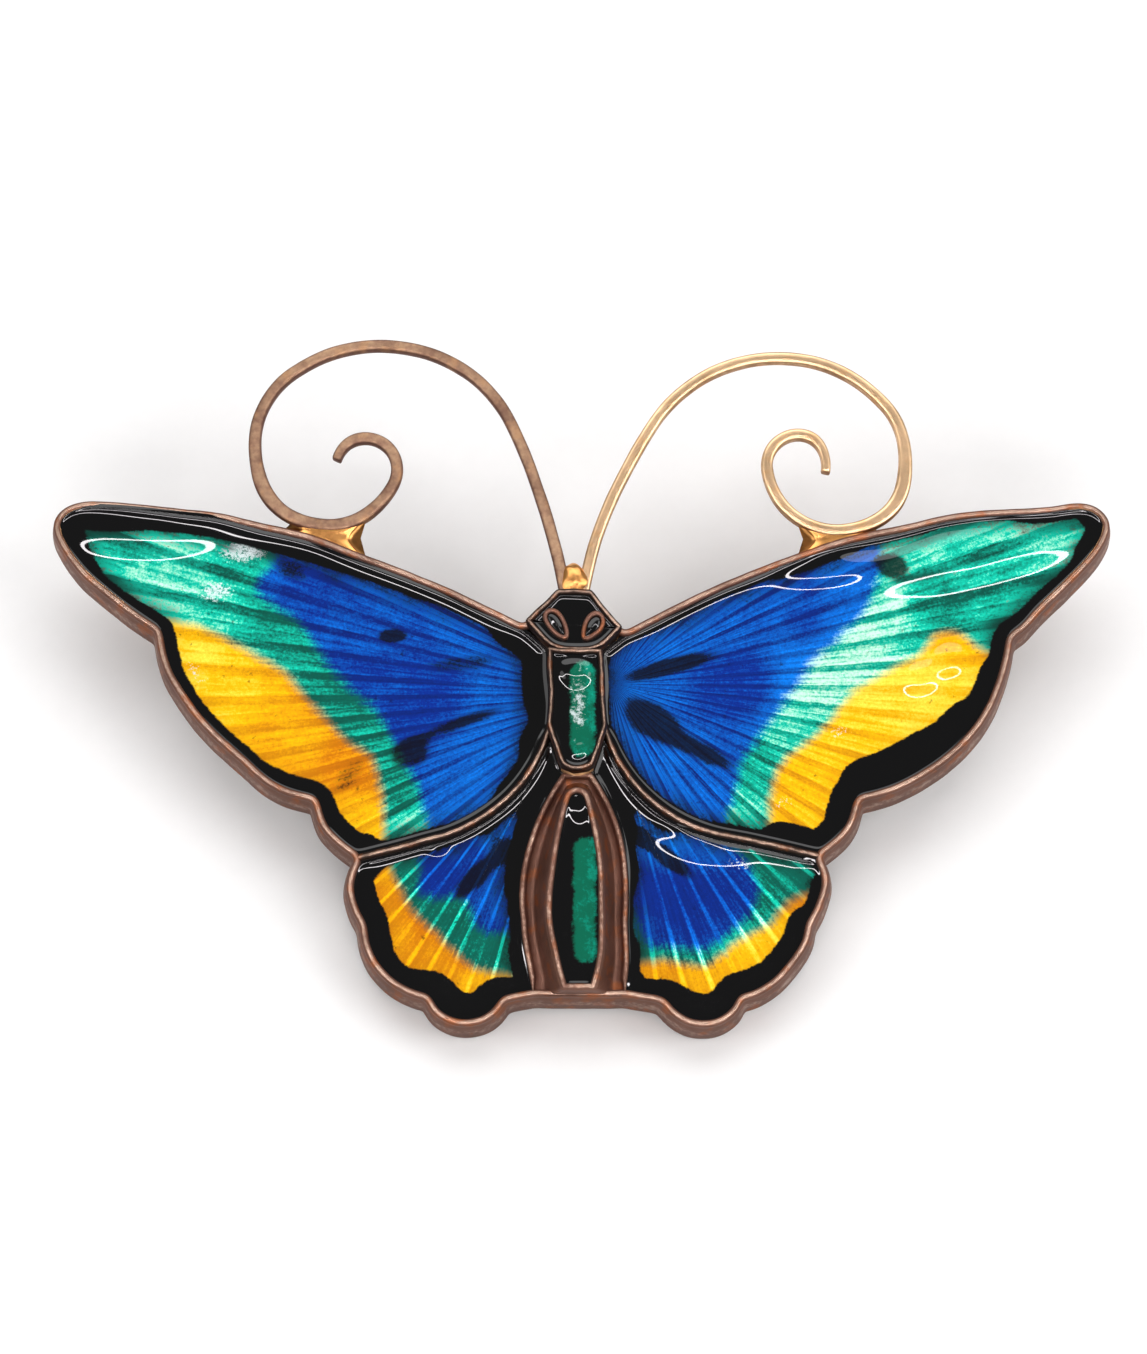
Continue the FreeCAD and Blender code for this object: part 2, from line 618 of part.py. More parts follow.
def make_rivet():
    """Rivet through both ears, with a bevelled head hammered over at each end."""
    body = new_body("hinge_rivet")
    crown = "bracket_half + rivet_head_height"
    profile = [(crown, "0"), (crown, "rivet_radius"), ("bracket_half", "rivet_head_radius"),
               ("bracket_half", "rivet_radius"), ("-bracket_half", "rivet_radius"),
               ("-bracket_half", "rivet_head_radius"), ("-(%s)" % crown, "rivet_radius"),
               ("-(%s)" % crown, "0")]
    sketch = draw_loop(body_sketch(body, "rivet_shape", "YZ_Plane"), profile, [None] * 8)
    revolve(body, "rivet_turned", sketch)
    nodes.append(seat(body, "hinge_x", "pin_line_y", "pin_z"))


def make_pin():
    """Eye that turns on the rivet, with the stem drawn out of it to a sharp point."""
    body = new_body("pin_stem")
    pad(body, "eye", draw_circle(body_sketch(body, "eye_shape", "XZ_Plane"), "eye_radius"),
        "eye_width")
    start = "(rivet_radius + eye_radius) / 2"
    profile = [(start, "0"), (start, "pin_root_radius"), ("pin_straight_start", "pin_radius"),
               ("pin_straight_end", "pin_radius"), ("pin_neck_end", "pin_neck_radius"),
               ("pin_tip_end", "pin_tip_radius"), ("pin_tip_end", "0")]
    revolve(body, "stem", draw_loop(body_sketch(body, "stem_shape", "XZ_Plane"), profile,
                                    [None] * len(profile)))
    pocket(body, "eye_bore", draw_circle(body_sketch(body, "bore_shape", "XZ_Plane"),
                                         "rivet_radius + rivet_running_gap"), "2 * eye_width")
    nodes.append(seat(body, "hinge_x", "pin_line_y", "pin_z"))


def ring_corners(radius, opening):
    """Quarter points of a circle from one side of an opening at its foot round to the other."""
    low = "-sqrt(%s^2 - %s^2)" % (radius, opening)
    return [(opening, low), (radius, "0"), ("0", radius), ("-" + radius, "0"), ("-" + opening, low)]


def ring_bulges(radius, opening, sign):
    """Bulges of the four arcs between the corners of ring_corners."""
    quarter = "%s * (1 - sqrt(0.5))" % radius
    chord = "((%s - %s)^2 + (%s^2 - %s^2))" % (radius, opening, radius, opening)
    short = "(%s - sqrt(%s^2 - %s / 4))" % (radius, radius, chord)
    return [sign + "(" + text + ")" for text in (short, quarter, quarter, short)]


def make_catch_housing():
    """C-shaped barrel on a foot, with a mouth for the pin and a window for the thumb tab."""
    body = new_body("catch_housing")
    inner = ring_corners("bore", "mouth_half")
    low = "-sqrt(housing_radius^2 - mouth_half^2)"
    foot_y = "sqrt(housing_radius^2 - foot_half^2)"
    outer = [("-mouth_half", low), ("-housing_radius", "0"), ("-foot_half", foot_y),
             ("-foot_half", "seat_height"), ("foot_half", "seat_height"),
             ("foot_half", foot_y), ("housing_radius", "0"), ("mouth_half", low)]
    side = "housing_radius - sqrt(housing_radius^2 - ((housing_radius - %s)^2 + (%s)^2) / 4)"
    lower = side % ("mouth_half", low)
    upper = side % ("foot_half", foot_y)
    bulges = ring_bulges("bore", "mouth_half", "-") + [None]
    bulges += [lower, upper, None, None, None, upper, lower, None]
    sketch = draw_loop(body_sketch(body, "barrel_shape", "YZ_Plane", "catch_length / 2"),
                       inner + outer, bulges)
    pad(body, "barrel", sketch, "catch_length")
    far = "3 * housing_radius"
    window = [("0", "0"), ("0", "-" + far), (far, "-" + far), (far, "0"),
              (far + " * sin(window_angle)", "-%s * cos(window_angle)" % far)]
    pocket(body, "window", draw_loop(
        body_sketch(body, "window_shape", "YZ_Plane", "catch_length / 2"), window, [None] * len(window)),
        "tab_length + 2 * tab_end_gap")
    nodes.append(seat(body, "catch_x", "pin_line_y", "pin_z"))


def make_catch_roller():
    """Slotted sleeve that turns inside the barrel to lock the pin in, with its thumb tab."""
    body = new_body("catch_roller")
    outside = ring_corners("roller_radius", "slot_half")
    inside = ring_corners("roller_bore", "slot_half")[::-1]
    bulges = ring_bulges("roller_radius", "slot_half", "-") + [None]
    bulges += ring_bulges("roller_bore", "slot_half", "") + [None]
    pad(body, "sleeve", draw_loop(
        body_sketch(body, "sleeve_shape", "YZ_Plane", "catch_length / 2"), outside + inside, bulges),
        "catch_length")
    near = "(roller_bore + roller_radius) / 2"
    tab = []
    for reach, edge in ((near, "1"), ("tab_reach", "1"), ("tab_reach", "-1"), (near, "-1")):
        tab.append(("(%s) * sin(tab_angle) + (%s) * tab_thickness / 2 * cos(tab_angle)" % (reach, edge),
                    "-(%s) * cos(tab_angle) + (%s) * tab_thickness / 2 * sin(tab_angle)" % (reach, edge)))
    pad(body, "thumb_tab", draw_loop(
        body_sketch(body, "tab_shape", "YZ_Plane", "catch_length / 2"), tab,
        [None, "tab_thickness * 0.4", None, None]), "tab_length")
    nodes.append(seat(body, "catch_x", "pin_line_y", "pin_z"))


def check_and_write():
    """Stop on any failed object, then write each sub-part to its own file."""
    doc.recompute()
    for item in doc.Objects:
        faults = [word for word in item.State if word in ("Invalid", "Error")]
        if faults:
            raise RuntimeError("%s: %s" % (item.Label, faults))
    os.makedirs("parts", exist_ok=True)
    for item in nodes:
        if item.Shape.isNull() or not item.Shape.isValid() or not item.Shape.Solids:
            raise RuntimeError("bad shape: " + item.Label)
        item.Shape.exportStep("parts/%s.step" % item.Label)


doc = FreeCAD.newDocument("butterfly_brooch")
nodes = []
fill_sheet("Sizes", SIZES, formula=False)
fill_sheet("WorkedOut", WORKED_OUT, formula=True)
tray = make_tray_and_enamels()
doc.recompute()
antennae = [make_antenna("left"), make_antenna("right")]
doc.recompute()
solder("antenna_root_solder", ("0", "head_top_y + root_bead_length / 3"),
       ("root_bead_half", "root_bead_length"), "0", "root_bead_rise", "root_bead_rise", antennae)
for side, sign, antenna in (("left", -1, antennae[0]), ("right", 1, antennae[1])):
    solder(antenna.Label + "_solder", ("%d * %s_web_x" % (sign, side), side + "_web_y"),
           ("web_half", side + "_web_reach"), "%d * web_slant" % sign, "web_under", "web_over",
           [antenna])
make_patch("hinge_patch", "hinge_x", tray)
make_patch("catch_patch", "catch_x + catch_length / 2", tray)
make_hinge_bracket()
make_rivet()
make_pin()
make_catch_housing()
make_catch_roller()
check_and_write()
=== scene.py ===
"""An enamelled butterfly brooch: gilt tray with raised rims, translucent enamel over engine-turned rays,
bent wire antennae, and a hinged pin with a rotating catch on the back."""

import json
import math

import bmesh
import bpy
import numpy as np
from bpy.props import FloatProperty, FloatVectorProperty, PointerProperty
from bpy.types import Operator, Panel, PropertyGroup
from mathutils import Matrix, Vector


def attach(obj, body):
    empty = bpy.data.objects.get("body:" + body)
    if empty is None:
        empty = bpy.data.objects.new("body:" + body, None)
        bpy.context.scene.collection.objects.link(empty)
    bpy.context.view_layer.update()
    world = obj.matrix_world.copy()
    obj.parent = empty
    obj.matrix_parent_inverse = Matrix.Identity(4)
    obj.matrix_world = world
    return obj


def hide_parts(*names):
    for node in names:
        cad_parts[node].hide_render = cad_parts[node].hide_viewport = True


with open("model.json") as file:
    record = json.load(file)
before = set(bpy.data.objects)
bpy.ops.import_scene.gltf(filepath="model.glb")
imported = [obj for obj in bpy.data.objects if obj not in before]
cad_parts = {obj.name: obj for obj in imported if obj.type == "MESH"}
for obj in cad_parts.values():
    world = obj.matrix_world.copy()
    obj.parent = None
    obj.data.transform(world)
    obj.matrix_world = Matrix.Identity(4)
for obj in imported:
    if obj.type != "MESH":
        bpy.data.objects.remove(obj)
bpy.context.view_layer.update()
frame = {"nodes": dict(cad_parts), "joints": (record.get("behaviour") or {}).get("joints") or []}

bl_info = {
    "name": "Enamelled butterfly brooch",
    "version": (1, 0, 0),
    "blender": (4, 5, 0),
    "location": "View3D > Sidebar > Brooch",
    "description": "Builds the finished surfaces of a butterfly brooch over its CAD frame",
    "category": "Object",
}

MM = 0.001


def linear(code):
    """A screen colour such as "C08040" as linear red, green, blue."""
    levels = np.array([int(code[i:i + 2], 16) for i in (0, 2, 4)]) / 255
    return tuple(np.where(levels <= 0.04045, levels / 12.92, ((levels + 0.055) / 1.055) ** 2.4).tolist())


def size(label, millimetres, words):
    """A length that a user can change, given in millimetres."""
    return FloatProperty(name=label, description=words, default=millimetres * MM, min=0.0,
                         precision=5, unit="LENGTH", subtype="DISTANCE")


def colour(label, code, words):
    """A colour that a user can change, given as a screen code."""
    return FloatVectorProperty(name=label, description=words, default=linear(code), subtype="COLOR",
                               size=3, min=0.0, max=1.0)


class BroochSizes(PropertyGroup):
    """Lengths of the finished surfaces"""
    rim_half: size("Rim half width", 0.17, "Half the width of the rounded rims")
    rim_rise: size("Rim rise", 0.05, "How far the rounded rims stand over the crest of the tray")
    side_belly: size("Side belly", 0.07, "How far the side of the tray swells outwards")
    hand_wobble: size("Hand wobble", 0.018, "Unevenness of the rims, from finishing by hand")
    enamel_sink: size("Enamel sink", 0.3, "Depth of the enamel under the rims")
    skin_rise: size("Skin rise", 0.2, "How far the enamel climbs the rims that hold it")
    skin_reach: size("Skin reach", 0.26, "How far from a rim the enamel starts to climb")
    skin_ripple: size("Skin ripple", 0.018, "Height of the waves in the fired surface")
    ray_depth: size("Ray depth", 0.1, "Depth of the engine-turned rays under the enamel")
    wire_width: size("Wire width", 0.56, "Width of the antenna wire")
    wire_depth: size("Wire depth", 0.6, "Depth of the antenna wire")
    wire_corner: size("Wire corner", 0.13, "Rounding of the wire's corners")
    edge_round: size("Edge rounding", 0.035, "Rounding of the edges of the findings")


class BroochColours(PropertyGroup):
    """Colours of enamel and metal"""
    blue: colour("Blue", "00298A", "Blue enamel at full depth")
    sky: colour("Light blue", "0072DA", "Blue enamel where it is thin")
    teal: colour("Teal", "006454", "Green enamel at full depth")
    mint: colour("Mint", "0CC8AA", "Green enamel where it is thin")
    pale_mint: colour("Pale mint", "BEF0D2", "Green enamel at its thinnest")
    yellow: colour("Yellow", "FFBE00", "Yellow enamel")
    pale_yellow: colour("Pale yellow", "FFF05A", "Yellow enamel at its thinnest")
    orange: colour("Orange", "C86400", "Yellow enamel where it is deep")
    black: colour("Black", "040405", "Opaque black enamel")
    # pale specks painted as glints of light on the enamel
    bloom: colour("Bloom", "E8F2F4", "Pale frit that has not melted")
    body_green: colour("Body green", "00644B", "Green enamel of the body")
    # also the painted highlight along the tops of the rims, the outer edge and the abdomen's ridges
    copper: colour("Worn gilding", "A08676", "Rims and abdomen where they are rubbed bright")
    # also the painted shade down the rims' sides and under the solder webs
    tarnish_and_shade: colour("Tarnish", "3A2D28", "Gilding of the rims and solder where it has darkened")
    rust: colour("Rust", "96552D", "Spots where the gilding has worn through to the copper")
    # also the painted shade on faces that look down to the card and down the sides of the edge, the
    # channel and the dulled wire
    umber: colour("Umber", "745448", "Brown film on the tray, the dulled wire and the findings")
    # the light colour of the tray and findings where they look up, and the painted shade under the bright
    # wire
    soft_gold: colour("Soft gilding", "B08660", "Gilding of the tray's back and the findings")
    bright_gold: colour("Bright gold", "DCB890", "Gilding of the wire that kept its shine")
    dull_gold: colour("Dulled gold", "A6886C", "Gilding of the wire that has gone to bronze")
    solder_gold: colour("Solder", "E0A05C", "Gilding on the solder")
    pin_gold: colour("Pin", "D8C090", "Gilding of the pin and of the catch's sleeve")
    floor: colour("Floor", "F4F3F3", "Card that the brooch lies on")


# ---- the brooch's own face frame ----------------------------------------------------------------
# X to the right wing tip, Y to the head, Z out of the front, in millimetres. The finished brooch leans
# on its findings, and the hinge's place and line in the frame say by how much.

HINGE = next(joint for joint in frame["joints"] if joint["name"] == "pin_hinge")
LEAN_COS, LEAN_SIN = HINGE["axis"][1], HINGE["axis"][2]
HINGE_Y, HINGE_Z = 5.2, -2.0
SHIFT = HINGE["pos_m"][1] / MM - (HINGE_Y * LEAN_COS - HINGE_Z * LEAN_SIN)
LIFT = HINGE["pos_m"][2] / MM - (HINGE_Y * LEAN_SIN + HINGE_Z * LEAN_COS)
# how high the walls stand over the tray's back, and the radius of the tray's crown
TRAY_HEIGHT, HEAD_HEIGHT, THORAX_HEIGHT, ABDOMEN_HEIGHT = 2.0, 2.6, 3.0, 3.2
DOME_RADIUS = 280.0

# each brooch is pressed, filed and bent by hand, so no two sides are the same: at a place x, y the
# outline lies this far aside, this far towards the head
HAND_FIT = np.array([
    (-25, 12, 0, 0), (25, 12, 0, 0), (-20.1, 6.5, 0.32, 0.1), (20.1, 6.5, -0.1, -0.25),
    (-17, 2.5, 0.42, 0.32), (17, 2.5, 0, -0.3), (-12.7, -1.1, 0.45, -0.45), (12.7, -1.1, 0, -0.42),
    (-10.7, -4.1, 0.4, -0.1), (10.7, -4.1, 0.2, 0), (-10.5, -7.3, 0.55, 0), (10.5, -7.3, -0.15, 0),
    (-8.8, -10.0, 0.5, 0.15), (9.4, -9.4, -0.45, 0.1), (-5.6, -12, 0.35, 0.2), (5.6, -12, -0.12, 0.15),
    (0, -10, -0.15, 0), (0, -5, -0.2, 0), (-2.4, -6, -0.35, 0), (2.4, -6, -0.4, 0), (-1.6, 2.5, 0, 0),
    (1.6, 2.5, -0.45, 0), (0, 2, -0.2, 0), (-2.3, 6.9, -0.45, -0.05), (2.3, 6.9, -0.3, -0.4),
    (0, 5.6, -0.3, -0.4), (0, 9, -0.35, 0), (-9, 9.5, 0, -0.2), (9, 9.5, 0, -0.1),
    (-16, 12.5, 0, -0.25), (16, 12.5, 0, -0.38), (20.5, 12.9, 0, -0.27), (21.8, 8.3, -0.2, 0.15),
    (-14, 15, 0.3, 0.1), (14, 15, -0.42, 0.1), (-8, 19.5, 0.15, 0.15), (8, 19.5, -0.1, 0),
    (-9, 15, 0, 0.15), (9, 15, 0, 0), (-7, 2, 0.1, 0), (7, 2, 0, 0)])
# how gently values pass from anchor to anchor, in square millimetres
FIT_SOFTNESS, FIELD_SOFTNESS = 2.0, 0.05


def spread(x, y, anchors, softness):
    """Values known at given anchors (x, y, value, ...) carried to any place: their mean, each
    weighted by one over the square of (squared distance + softness)."""
    anchors = np.array(anchors, float)
    squared = (x[..., None] - anchors[:, 0]) ** 2 + (y[..., None] - anchors[:, 1]) ** 2 + softness
    weights = squared ** -2
    weights /= weights.sum(axis=-1, keepdims=True)
    return weights @ anchors[:, 2:]


def fitted(x, y):
    """A point's place once the hand's uneven fit is added."""
    x, y = np.broadcast_arrays(np.asarray(x, float), y)
    moves = spread(x, y, HAND_FIT, FIT_SOFTNESS)
    return x + moves[..., 0], y + moves[..., 1]


def blended(points, anchors):
    """A smooth field through (x, y, value) anchors."""
    return spread(points[:, 0], points[:, 1], anchors, FIELD_SOFTNESS)[:, 0]


def in_room(x, y, z):
    """Face frame to room: turned about X by the lean, then shifted; millimetres to metres."""
    x, y, z = np.broadcast_arrays(x, y, z)
    return np.stack([x, y * LEAN_COS - z * LEAN_SIN + SHIFT, y * LEAN_SIN + z * LEAN_COS + LIFT],
                    axis=-1) * MM


def to_world(x, y, z):
    """A point of a finished piece in the room, with the hand's fit."""
    return in_room(*fitted(x, y), z)


def drop(x):
    """How far the crowned tray falls away from its middle: R less the root of (R squared - x squared)."""
    return DOME_RADIUS - np.sqrt(DOME_RADIUS ** 2 - np.square(x))


def wobble(along, length, waves, seed):
    """Unevenness along a line: a sum of sines with whole numbers of waves, from -1 to 1."""
    rng = np.random.default_rng(seed)
    total = 0
    for wave in waves:
        count = max(1, round(length / wave))
        total = total + rng.uniform(0.5, 1) * np.sin(
            2 * np.pi * count * along / length + rng.uniform(0, 2 * np.pi))
    return total / len(waves)


def ripples(x, y, seed):
    """Slow waves of a surface that has flowed: a sum of plane waves 2 to 7 mm long, from -1 to 1."""
    rng = np.random.default_rng(seed)
    total = np.zeros_like(x)
    for wave in (2.1, 2.9, 3.8, 5.0, 7.0):
        angle = rng.uniform(0, 2 * np.pi)
        total += wave / 7 * np.sin(2 * np.pi * (x * math.cos(angle) + y * math.sin(angle)) / wave
                                   + rng.uniform(0, 2 * np.pi))
    return total / 3


def blotches(points, spots):
    """Sum of slanting spots (x, y, long, short, slant in degrees, strength), each its strength times the
    exponential of -((u / long) squared + (v / short) squared) to the power 1.5; kept within 0 to 1."""
    total = np.zeros(len(points))
    for x, y, long, short, slant, strength in spots:
        angle = math.radians(slant)
        across = points - (x, y)
        u = across[:, 0] * math.cos(angle) + across[:, 1] * math.sin(angle)
        v = -across[:, 0] * math.sin(angle) + across[:, 1] * math.cos(angle)
        total += strength * np.exp(-((u / long) ** 2 + (v / short) ** 2) ** 1.5)
    return np.clip(total, 0, 1)


# ---- drawing lines ------------------------------------------------------------------------------

def arc(start, finish, bulge, count=None, step=0.04):
    """Points of a circular arc over a chord, without the last one. It bulges to the left by a sagitta, and
    its radius is chord squared / (8 * bulge) + bulge / 2."""
    start, finish = np.array(start, float), np.array(finish, float)
    chord = finish - start
    length = np.hypot(*chord)
    count = count or max(2, int(length / step))
    t = np.arange(count) / count
    if not bulge:
        return start + t[:, None] * chord
    left = np.array([-chord[1], chord[0]]) / length
    radius = length ** 2 / (8 * bulge) + bulge / 2
    half = math.asin(length / 2 / radius)
    angle = (2 * t - 1) * half
    middle = (start + finish) / 2 + left * (bulge - radius)
    return middle + radius * (np.sin(angle)[:, None] * chord / length + np.cos(angle)[:, None] * left)


def outline(corners, bulges, counts=None):
    """Closed line through corners, each stretch straight (0) or bulging outwards; runs clockwise."""
    return np.concatenate([arc(*stretch) for stretch in zip(
        corners, corners[1:] + corners[:1], bulges, counts or [None] * len(corners))])


def both_sides(corners, bulges, bottom=0, top=0, counts=None):
    """A clockwise outline, the same left and right, from the corners of its right half. counts gives the
    points of each stretch of that half and of the foot, so that two outlines match point for point."""
    mirrored = [(-x, y) for x, y in reversed(corners)]
    return outline(corners + mirrored, bulges + [bottom] + bulges[::-1] + [top],
                   counts and counts + counts[-2::-1] + counts[-1:])


def lengths(line, closed):
    """Distance run along a line up to each point, and the whole length."""
    ends = np.roll(line, -1, axis=0) if closed else line[1:]
    steps = np.hypot(*(ends - line[:len(ends)]).T)
    run = np.concatenate([[0], np.cumsum(steps)])
    return (run[:-1], run[-1]) if closed else (run, run[-1])


def even(line, step, closed):
    """The same line with its points evenly spaced."""
    run, whole = lengths(line, closed)
    count = max(8, int(whole / step))
    if closed:
        at = np.arange(count) / count * whole
        run, line = np.append(run, whole), np.vstack([line, line[:1]])
    else:
        at = np.linspace(0, whole, count)
    return np.stack([np.interp(at, run, line[:, k]) for k in range(line.shape[1])], axis=1)


def mean_along(line, weights, closed=True):
    """Each point of a line becomes the weighted mean of its neighbours; an open line's ends stay put."""
    reach = len(weights) // 2
    before, after = (line[-reach:], line[:reach]) if closed else (
        np.repeat(line[:1], reach, axis=0), np.repeat(line[-1:], reach, axis=0))
    padded = np.vstack([before, line, after])
    weights = weights / weights.sum()
    return np.stack([np.convolve(padded[:, k], weights, "valid") for k in (0, 1)], axis=1)


def softened(line, width, step=0.05):
    """A closed line with its corners rounded by a mean, each neighbour weighted by the exponential of
    -(distance / width) squared / 2."""
    reach = int(4 * width / step)
    bell = np.exp(-0.5 * (np.arange(-reach, reach + 1) * step / width) ** 2)
    return mean_along(even(line, step, True), bell)


def eased(line):
    """A closed line with its notches a little rounded, and the wing tips and the bend of the leading edge
    rounded more, by a share that falls off as the exponential of -(distance / reach) squared."""
    fine, broad = softened(line, NOTCH_ROUND), softened(line, TIP_ROUND)
    weight = 0
    for place, reach in ROUND_PLACES:
        weight = weight + np.exp(-((np.abs(fine[:, 0]) - place[0]) ** 2
                                   + (fine[:, 1] - place[1]) ** 2) / reach ** 2)
    return fine + (broad - fine) * np.minimum(weight, 1)[:, None]


def smooth_curve(points, step=0.1):
    """Open curve through a few given points: cubic between neighbours (Catmull-Rom)."""
    p = np.array(points, float)
    p = np.vstack([2 * p[0] - p[1], p, 2 * p[-1] - p[-2]])
    t = np.linspace(0, 1, 12, endpoint=False)[:, None]
    parts = [0.5 * (2 * b + (c - a) * t + (2 * a - 5 * b + 4 * c - d) * t ** 2
                    + (3 * b - a - 3 * c + d) * t ** 3)
             for a, b, c, d in zip(p[:-3], p[1:-2], p[2:-1], p[3:])]
    return even(np.vstack(parts + [p[-2:-1]]), step, False)


def sideways(line, closed):
    """Unit normals to the left of a line."""
    if closed:
        run = np.roll(line, -1, axis=0) - np.roll(line, 1, axis=0)
    else:
        run = np.gradient(line, axis=0)
    run /= np.hypot(*run.T)[:, None]
    return np.stack([-run[:, 1], run[:, 0]], axis=1)


def set_in(line, distance):
    """A closed clockwise line moved inwards."""
    return line - sideways(line, True) * distance


def nearest(points, line, closed, batch=4096):
    """Distance from each point to a line, with its sign: positive to the left of the line's run."""
    ends = np.roll(line, -1, axis=0) if closed else line[1:]
    starts = line[:len(ends)]
    run = ends - starts
    squared = (run ** 2).sum(axis=1)
    answer = np.empty(len(points))
    for first in range(0, len(points), batch):
        block = points[first:first + batch]
        gap = block[:, None, :] - starts[None]
        t = np.clip((gap * run).sum(axis=2) / squared, 0, 1)
        away = gap - t[:, :, None] * run
        reach = (away ** 2).sum(axis=2)
        best = reach.argmin(axis=1)
        rows = np.arange(len(block))
        side = run[best, 0] * gap[rows, best, 1] - run[best, 1] * gap[rows, best, 0]
        answer[first:first + batch] = np.sqrt(reach[rows, best]) * np.where(side >= 0, 1, -1)
    return answer


# ---- putting surfaces into meshes ---------------------------------------------------------------

def settle(mesh, material, body, replaced):
    """Put a finished mesh in the scene, at the origin, on its body, in place of its CAD nodes."""
    mesh.materials.append(material)
    piece = bpy.data.objects.new(mesh.name, mesh)
    bpy.context.scene.collection.objects.link(piece)
    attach(piece, body)
    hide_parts(*replaced)
    return piece


def grid_faces(rows, columns, close_rows):
    """Four corners of every face of a grid of points, numbered row by row. Each row is a ring, and
    close_rows joins the last ring to the first."""
    r = np.arange(rows if close_rows else rows - 1)[:, None]
    c = np.arange(columns)[None, :]
    below, beside = (r + 1) % rows, (c + 1) % columns
    corners = [r * columns + c, below * columns + c, below * columns + beside, r * columns + beside]
    return np.stack([np.broadcast_to(k, (r.size, columns)) for k in corners], axis=-1).reshape(-1, 4)


def make_mesh(name, points, quads, fans, fields):
    """A smooth closed mesh, facing outwards, from points, four-cornered faces and fans (one hub point
    joined to a ring); fields are values kept at the points for the materials."""
    triangles = [np.stack([ring, np.roll(ring, -1), np.full(len(ring), hub)], axis=1)
                 for hub, ring in fans]
    triangles = np.vstack(triangles) if triangles else np.zeros((0, 3), int)
    mesh = bpy.data.meshes.new(name)
    mesh.vertices.add(len(points))
    mesh.vertices.foreach_set("co", np.asarray(points, np.float32).ravel())
    mesh.loops.add(quads.size + triangles.size)
    mesh.loops.foreach_set("vertex_index", np.concatenate([quads.ravel(), triangles.ravel()]))
    mesh.polygons.add(len(quads) + len(triangles))
    mesh.polygons.foreach_set("loop_start", np.concatenate([
        np.arange(len(quads)) * 4, quads.size + np.arange(len(triangles)) * 3]))
    mesh.update(calc_edges=True)
    mesh.validate()
    mesh.shade_smooth()
    for field, values in fields.items():
        layer = mesh.attributes.new(field, "FLOAT", "POINT")
        layer.data.foreach_set("value", np.asarray(values, np.float32).ravel())
    work = bmesh.new()
    work.from_mesh(mesh)
    bmesh.ops.recalc_face_normals(work, faces=work.faces)
    work.to_mesh(mesh)
    work.free()
    return mesh


def tube(name, x, y, z, closed, crest):
    """A surface whose rows of points, in the face frame, are rings one after another. An open one is
    closed at both ends by a hub in the middle of the end ring. crest says how light each place is painted:
    partly how rubbed it is, partly painted highlight and painted shade."""
    points = to_world(x, y, z)
    rows, columns = points.shape[:2]
    points, fans = points.reshape(-1, 3), []
    crest = np.broadcast_to(crest, (rows, columns)).ravel()
    if not closed:
        hubs = np.array([points[:columns].mean(axis=0), points[-columns:].mean(axis=0)])
        fans = [(len(points), np.arange(columns)),
                (len(points) + 1, np.arange(len(points) - columns, len(points))[::-1])]
        points, crest = np.vstack([points, hubs]), np.append(crest, crest[[0, -1]])
    return make_mesh(name, points, grid_faces(rows, columns, closed), fans, {"crest": crest})


def swept(name, line, closed, section, crest, level=0.0, domed=False, end_scale=()):
    """A closed section carried along a line in the face frame: point = line + left * offset, at the level
    plus its height, less the drop of the crowned tray where domed. section(run, whole) gives, for each
    point of the line, arrays of offsets and heights; end_scale shrinks an open line's end rings."""
    offsets, heights = section(*lengths(line, closed))
    for row, scale in end_scale:
        for values in (offsets, heights):
            middle = (values[row].max() + values[row].min()) / 2
            values[row] = middle + (values[row] - middle) * scale
    left = sideways(line, closed)
    x = line[:, :1] + left[:, :1] * offsets
    y = line[:, 1:] + left[:, 1:] * offsets
    return tube(name, x, y, heights + level - (drop(x) if domed else 0), closed, crest)


# ---- outlines of the brooch, millimetres --------------------------------------------------------

HEAD_TOP, HEAD_SIDE, HEAD_LOW = (0.8, 8.4), (2.25, 6.85), (1.1, 5.65)
LEAD_BEND, TIP_TOP, TIP, FORE_NOTCH = (17.0, 12.6), (23.3, 13.05), (24.95, 11.9), (20.1, 6.54)
MID_NOTCH, WING_JOIN, SIDE_NOTCH = (12.75, -1.07), (10.7, -4.1), (10.6, -7.3)
LOW_NOTCH, TAIL_NOTCH, TAIL = (7.5, -10.88), (3.74, -11.0), (2.1, -10.6)
THORAX_TOP, THORAX_WIDE, THORAX_LOW = (1.28, 5.75), (1.56, 1.8), (0.8, -0.1)
DIVIDER_ROOT, DIVIDER_BEND, DIVIDER_MID = (1.35, 2.2), (3.4, -1.5), (7.3, -3.25)
RIDGE_TOP, RIDGE_WIDE, RIDGE_TAIL = (0.7, -0.2), (2.45, -7.1), (2.1, -10.58)
RIM_TOP, RIM_WIDE, RIM_TAIL = (0.6, -1.55), (1.35, -7.1), (0.75, -10.48)
# an eye's middle, its slant in degrees, and how egg-shaped it is
EYE, EYE_SLANT, EYE_EGG = (0.8, 6.85), 55, 0.22

# how far each stretch bulges: the leading edge, the tip and the scallops of the forewing, then the
# hindwing's scallops
LEAD_BULGE = 0.42
FORE_BULGES = [LEAD_BULGE, 0, 0.35, 0.55, 1.75, 0.42]
HIND_BULGES = [0.5, 0.85, 1.2, 0]
DIVIDER_BULGE = -0.35
# the cloison is clear of the thorax below this height
DIVIDER_CLEAR = 1.4
# widths of the mean that rounds the notches, and the places with their reach where it is wider
NOTCH_ROUND, TIP_ROUND = 0.2, 0.6
ROUND_PLACES = ((TIP_TOP, 1.3), (TIP, 1.6), (LEAD_BEND, 2.5))
# the collar under the head: the mean's width, the height where it starts and how soon it is whole
COLLAR_ROUND, COLLAR_TOP, COLLAR_FADE = 0.4, 6.9, 0.4
# a rim's middle and its side face, in from the outline and out from that middle
INSET, RIM_FACE = 0.15, 0.17
# edges that turn by more than this stay crisp
SHARP = math.radians(38)
SIDE_NAMES = {-1: "left", 1: "right"}


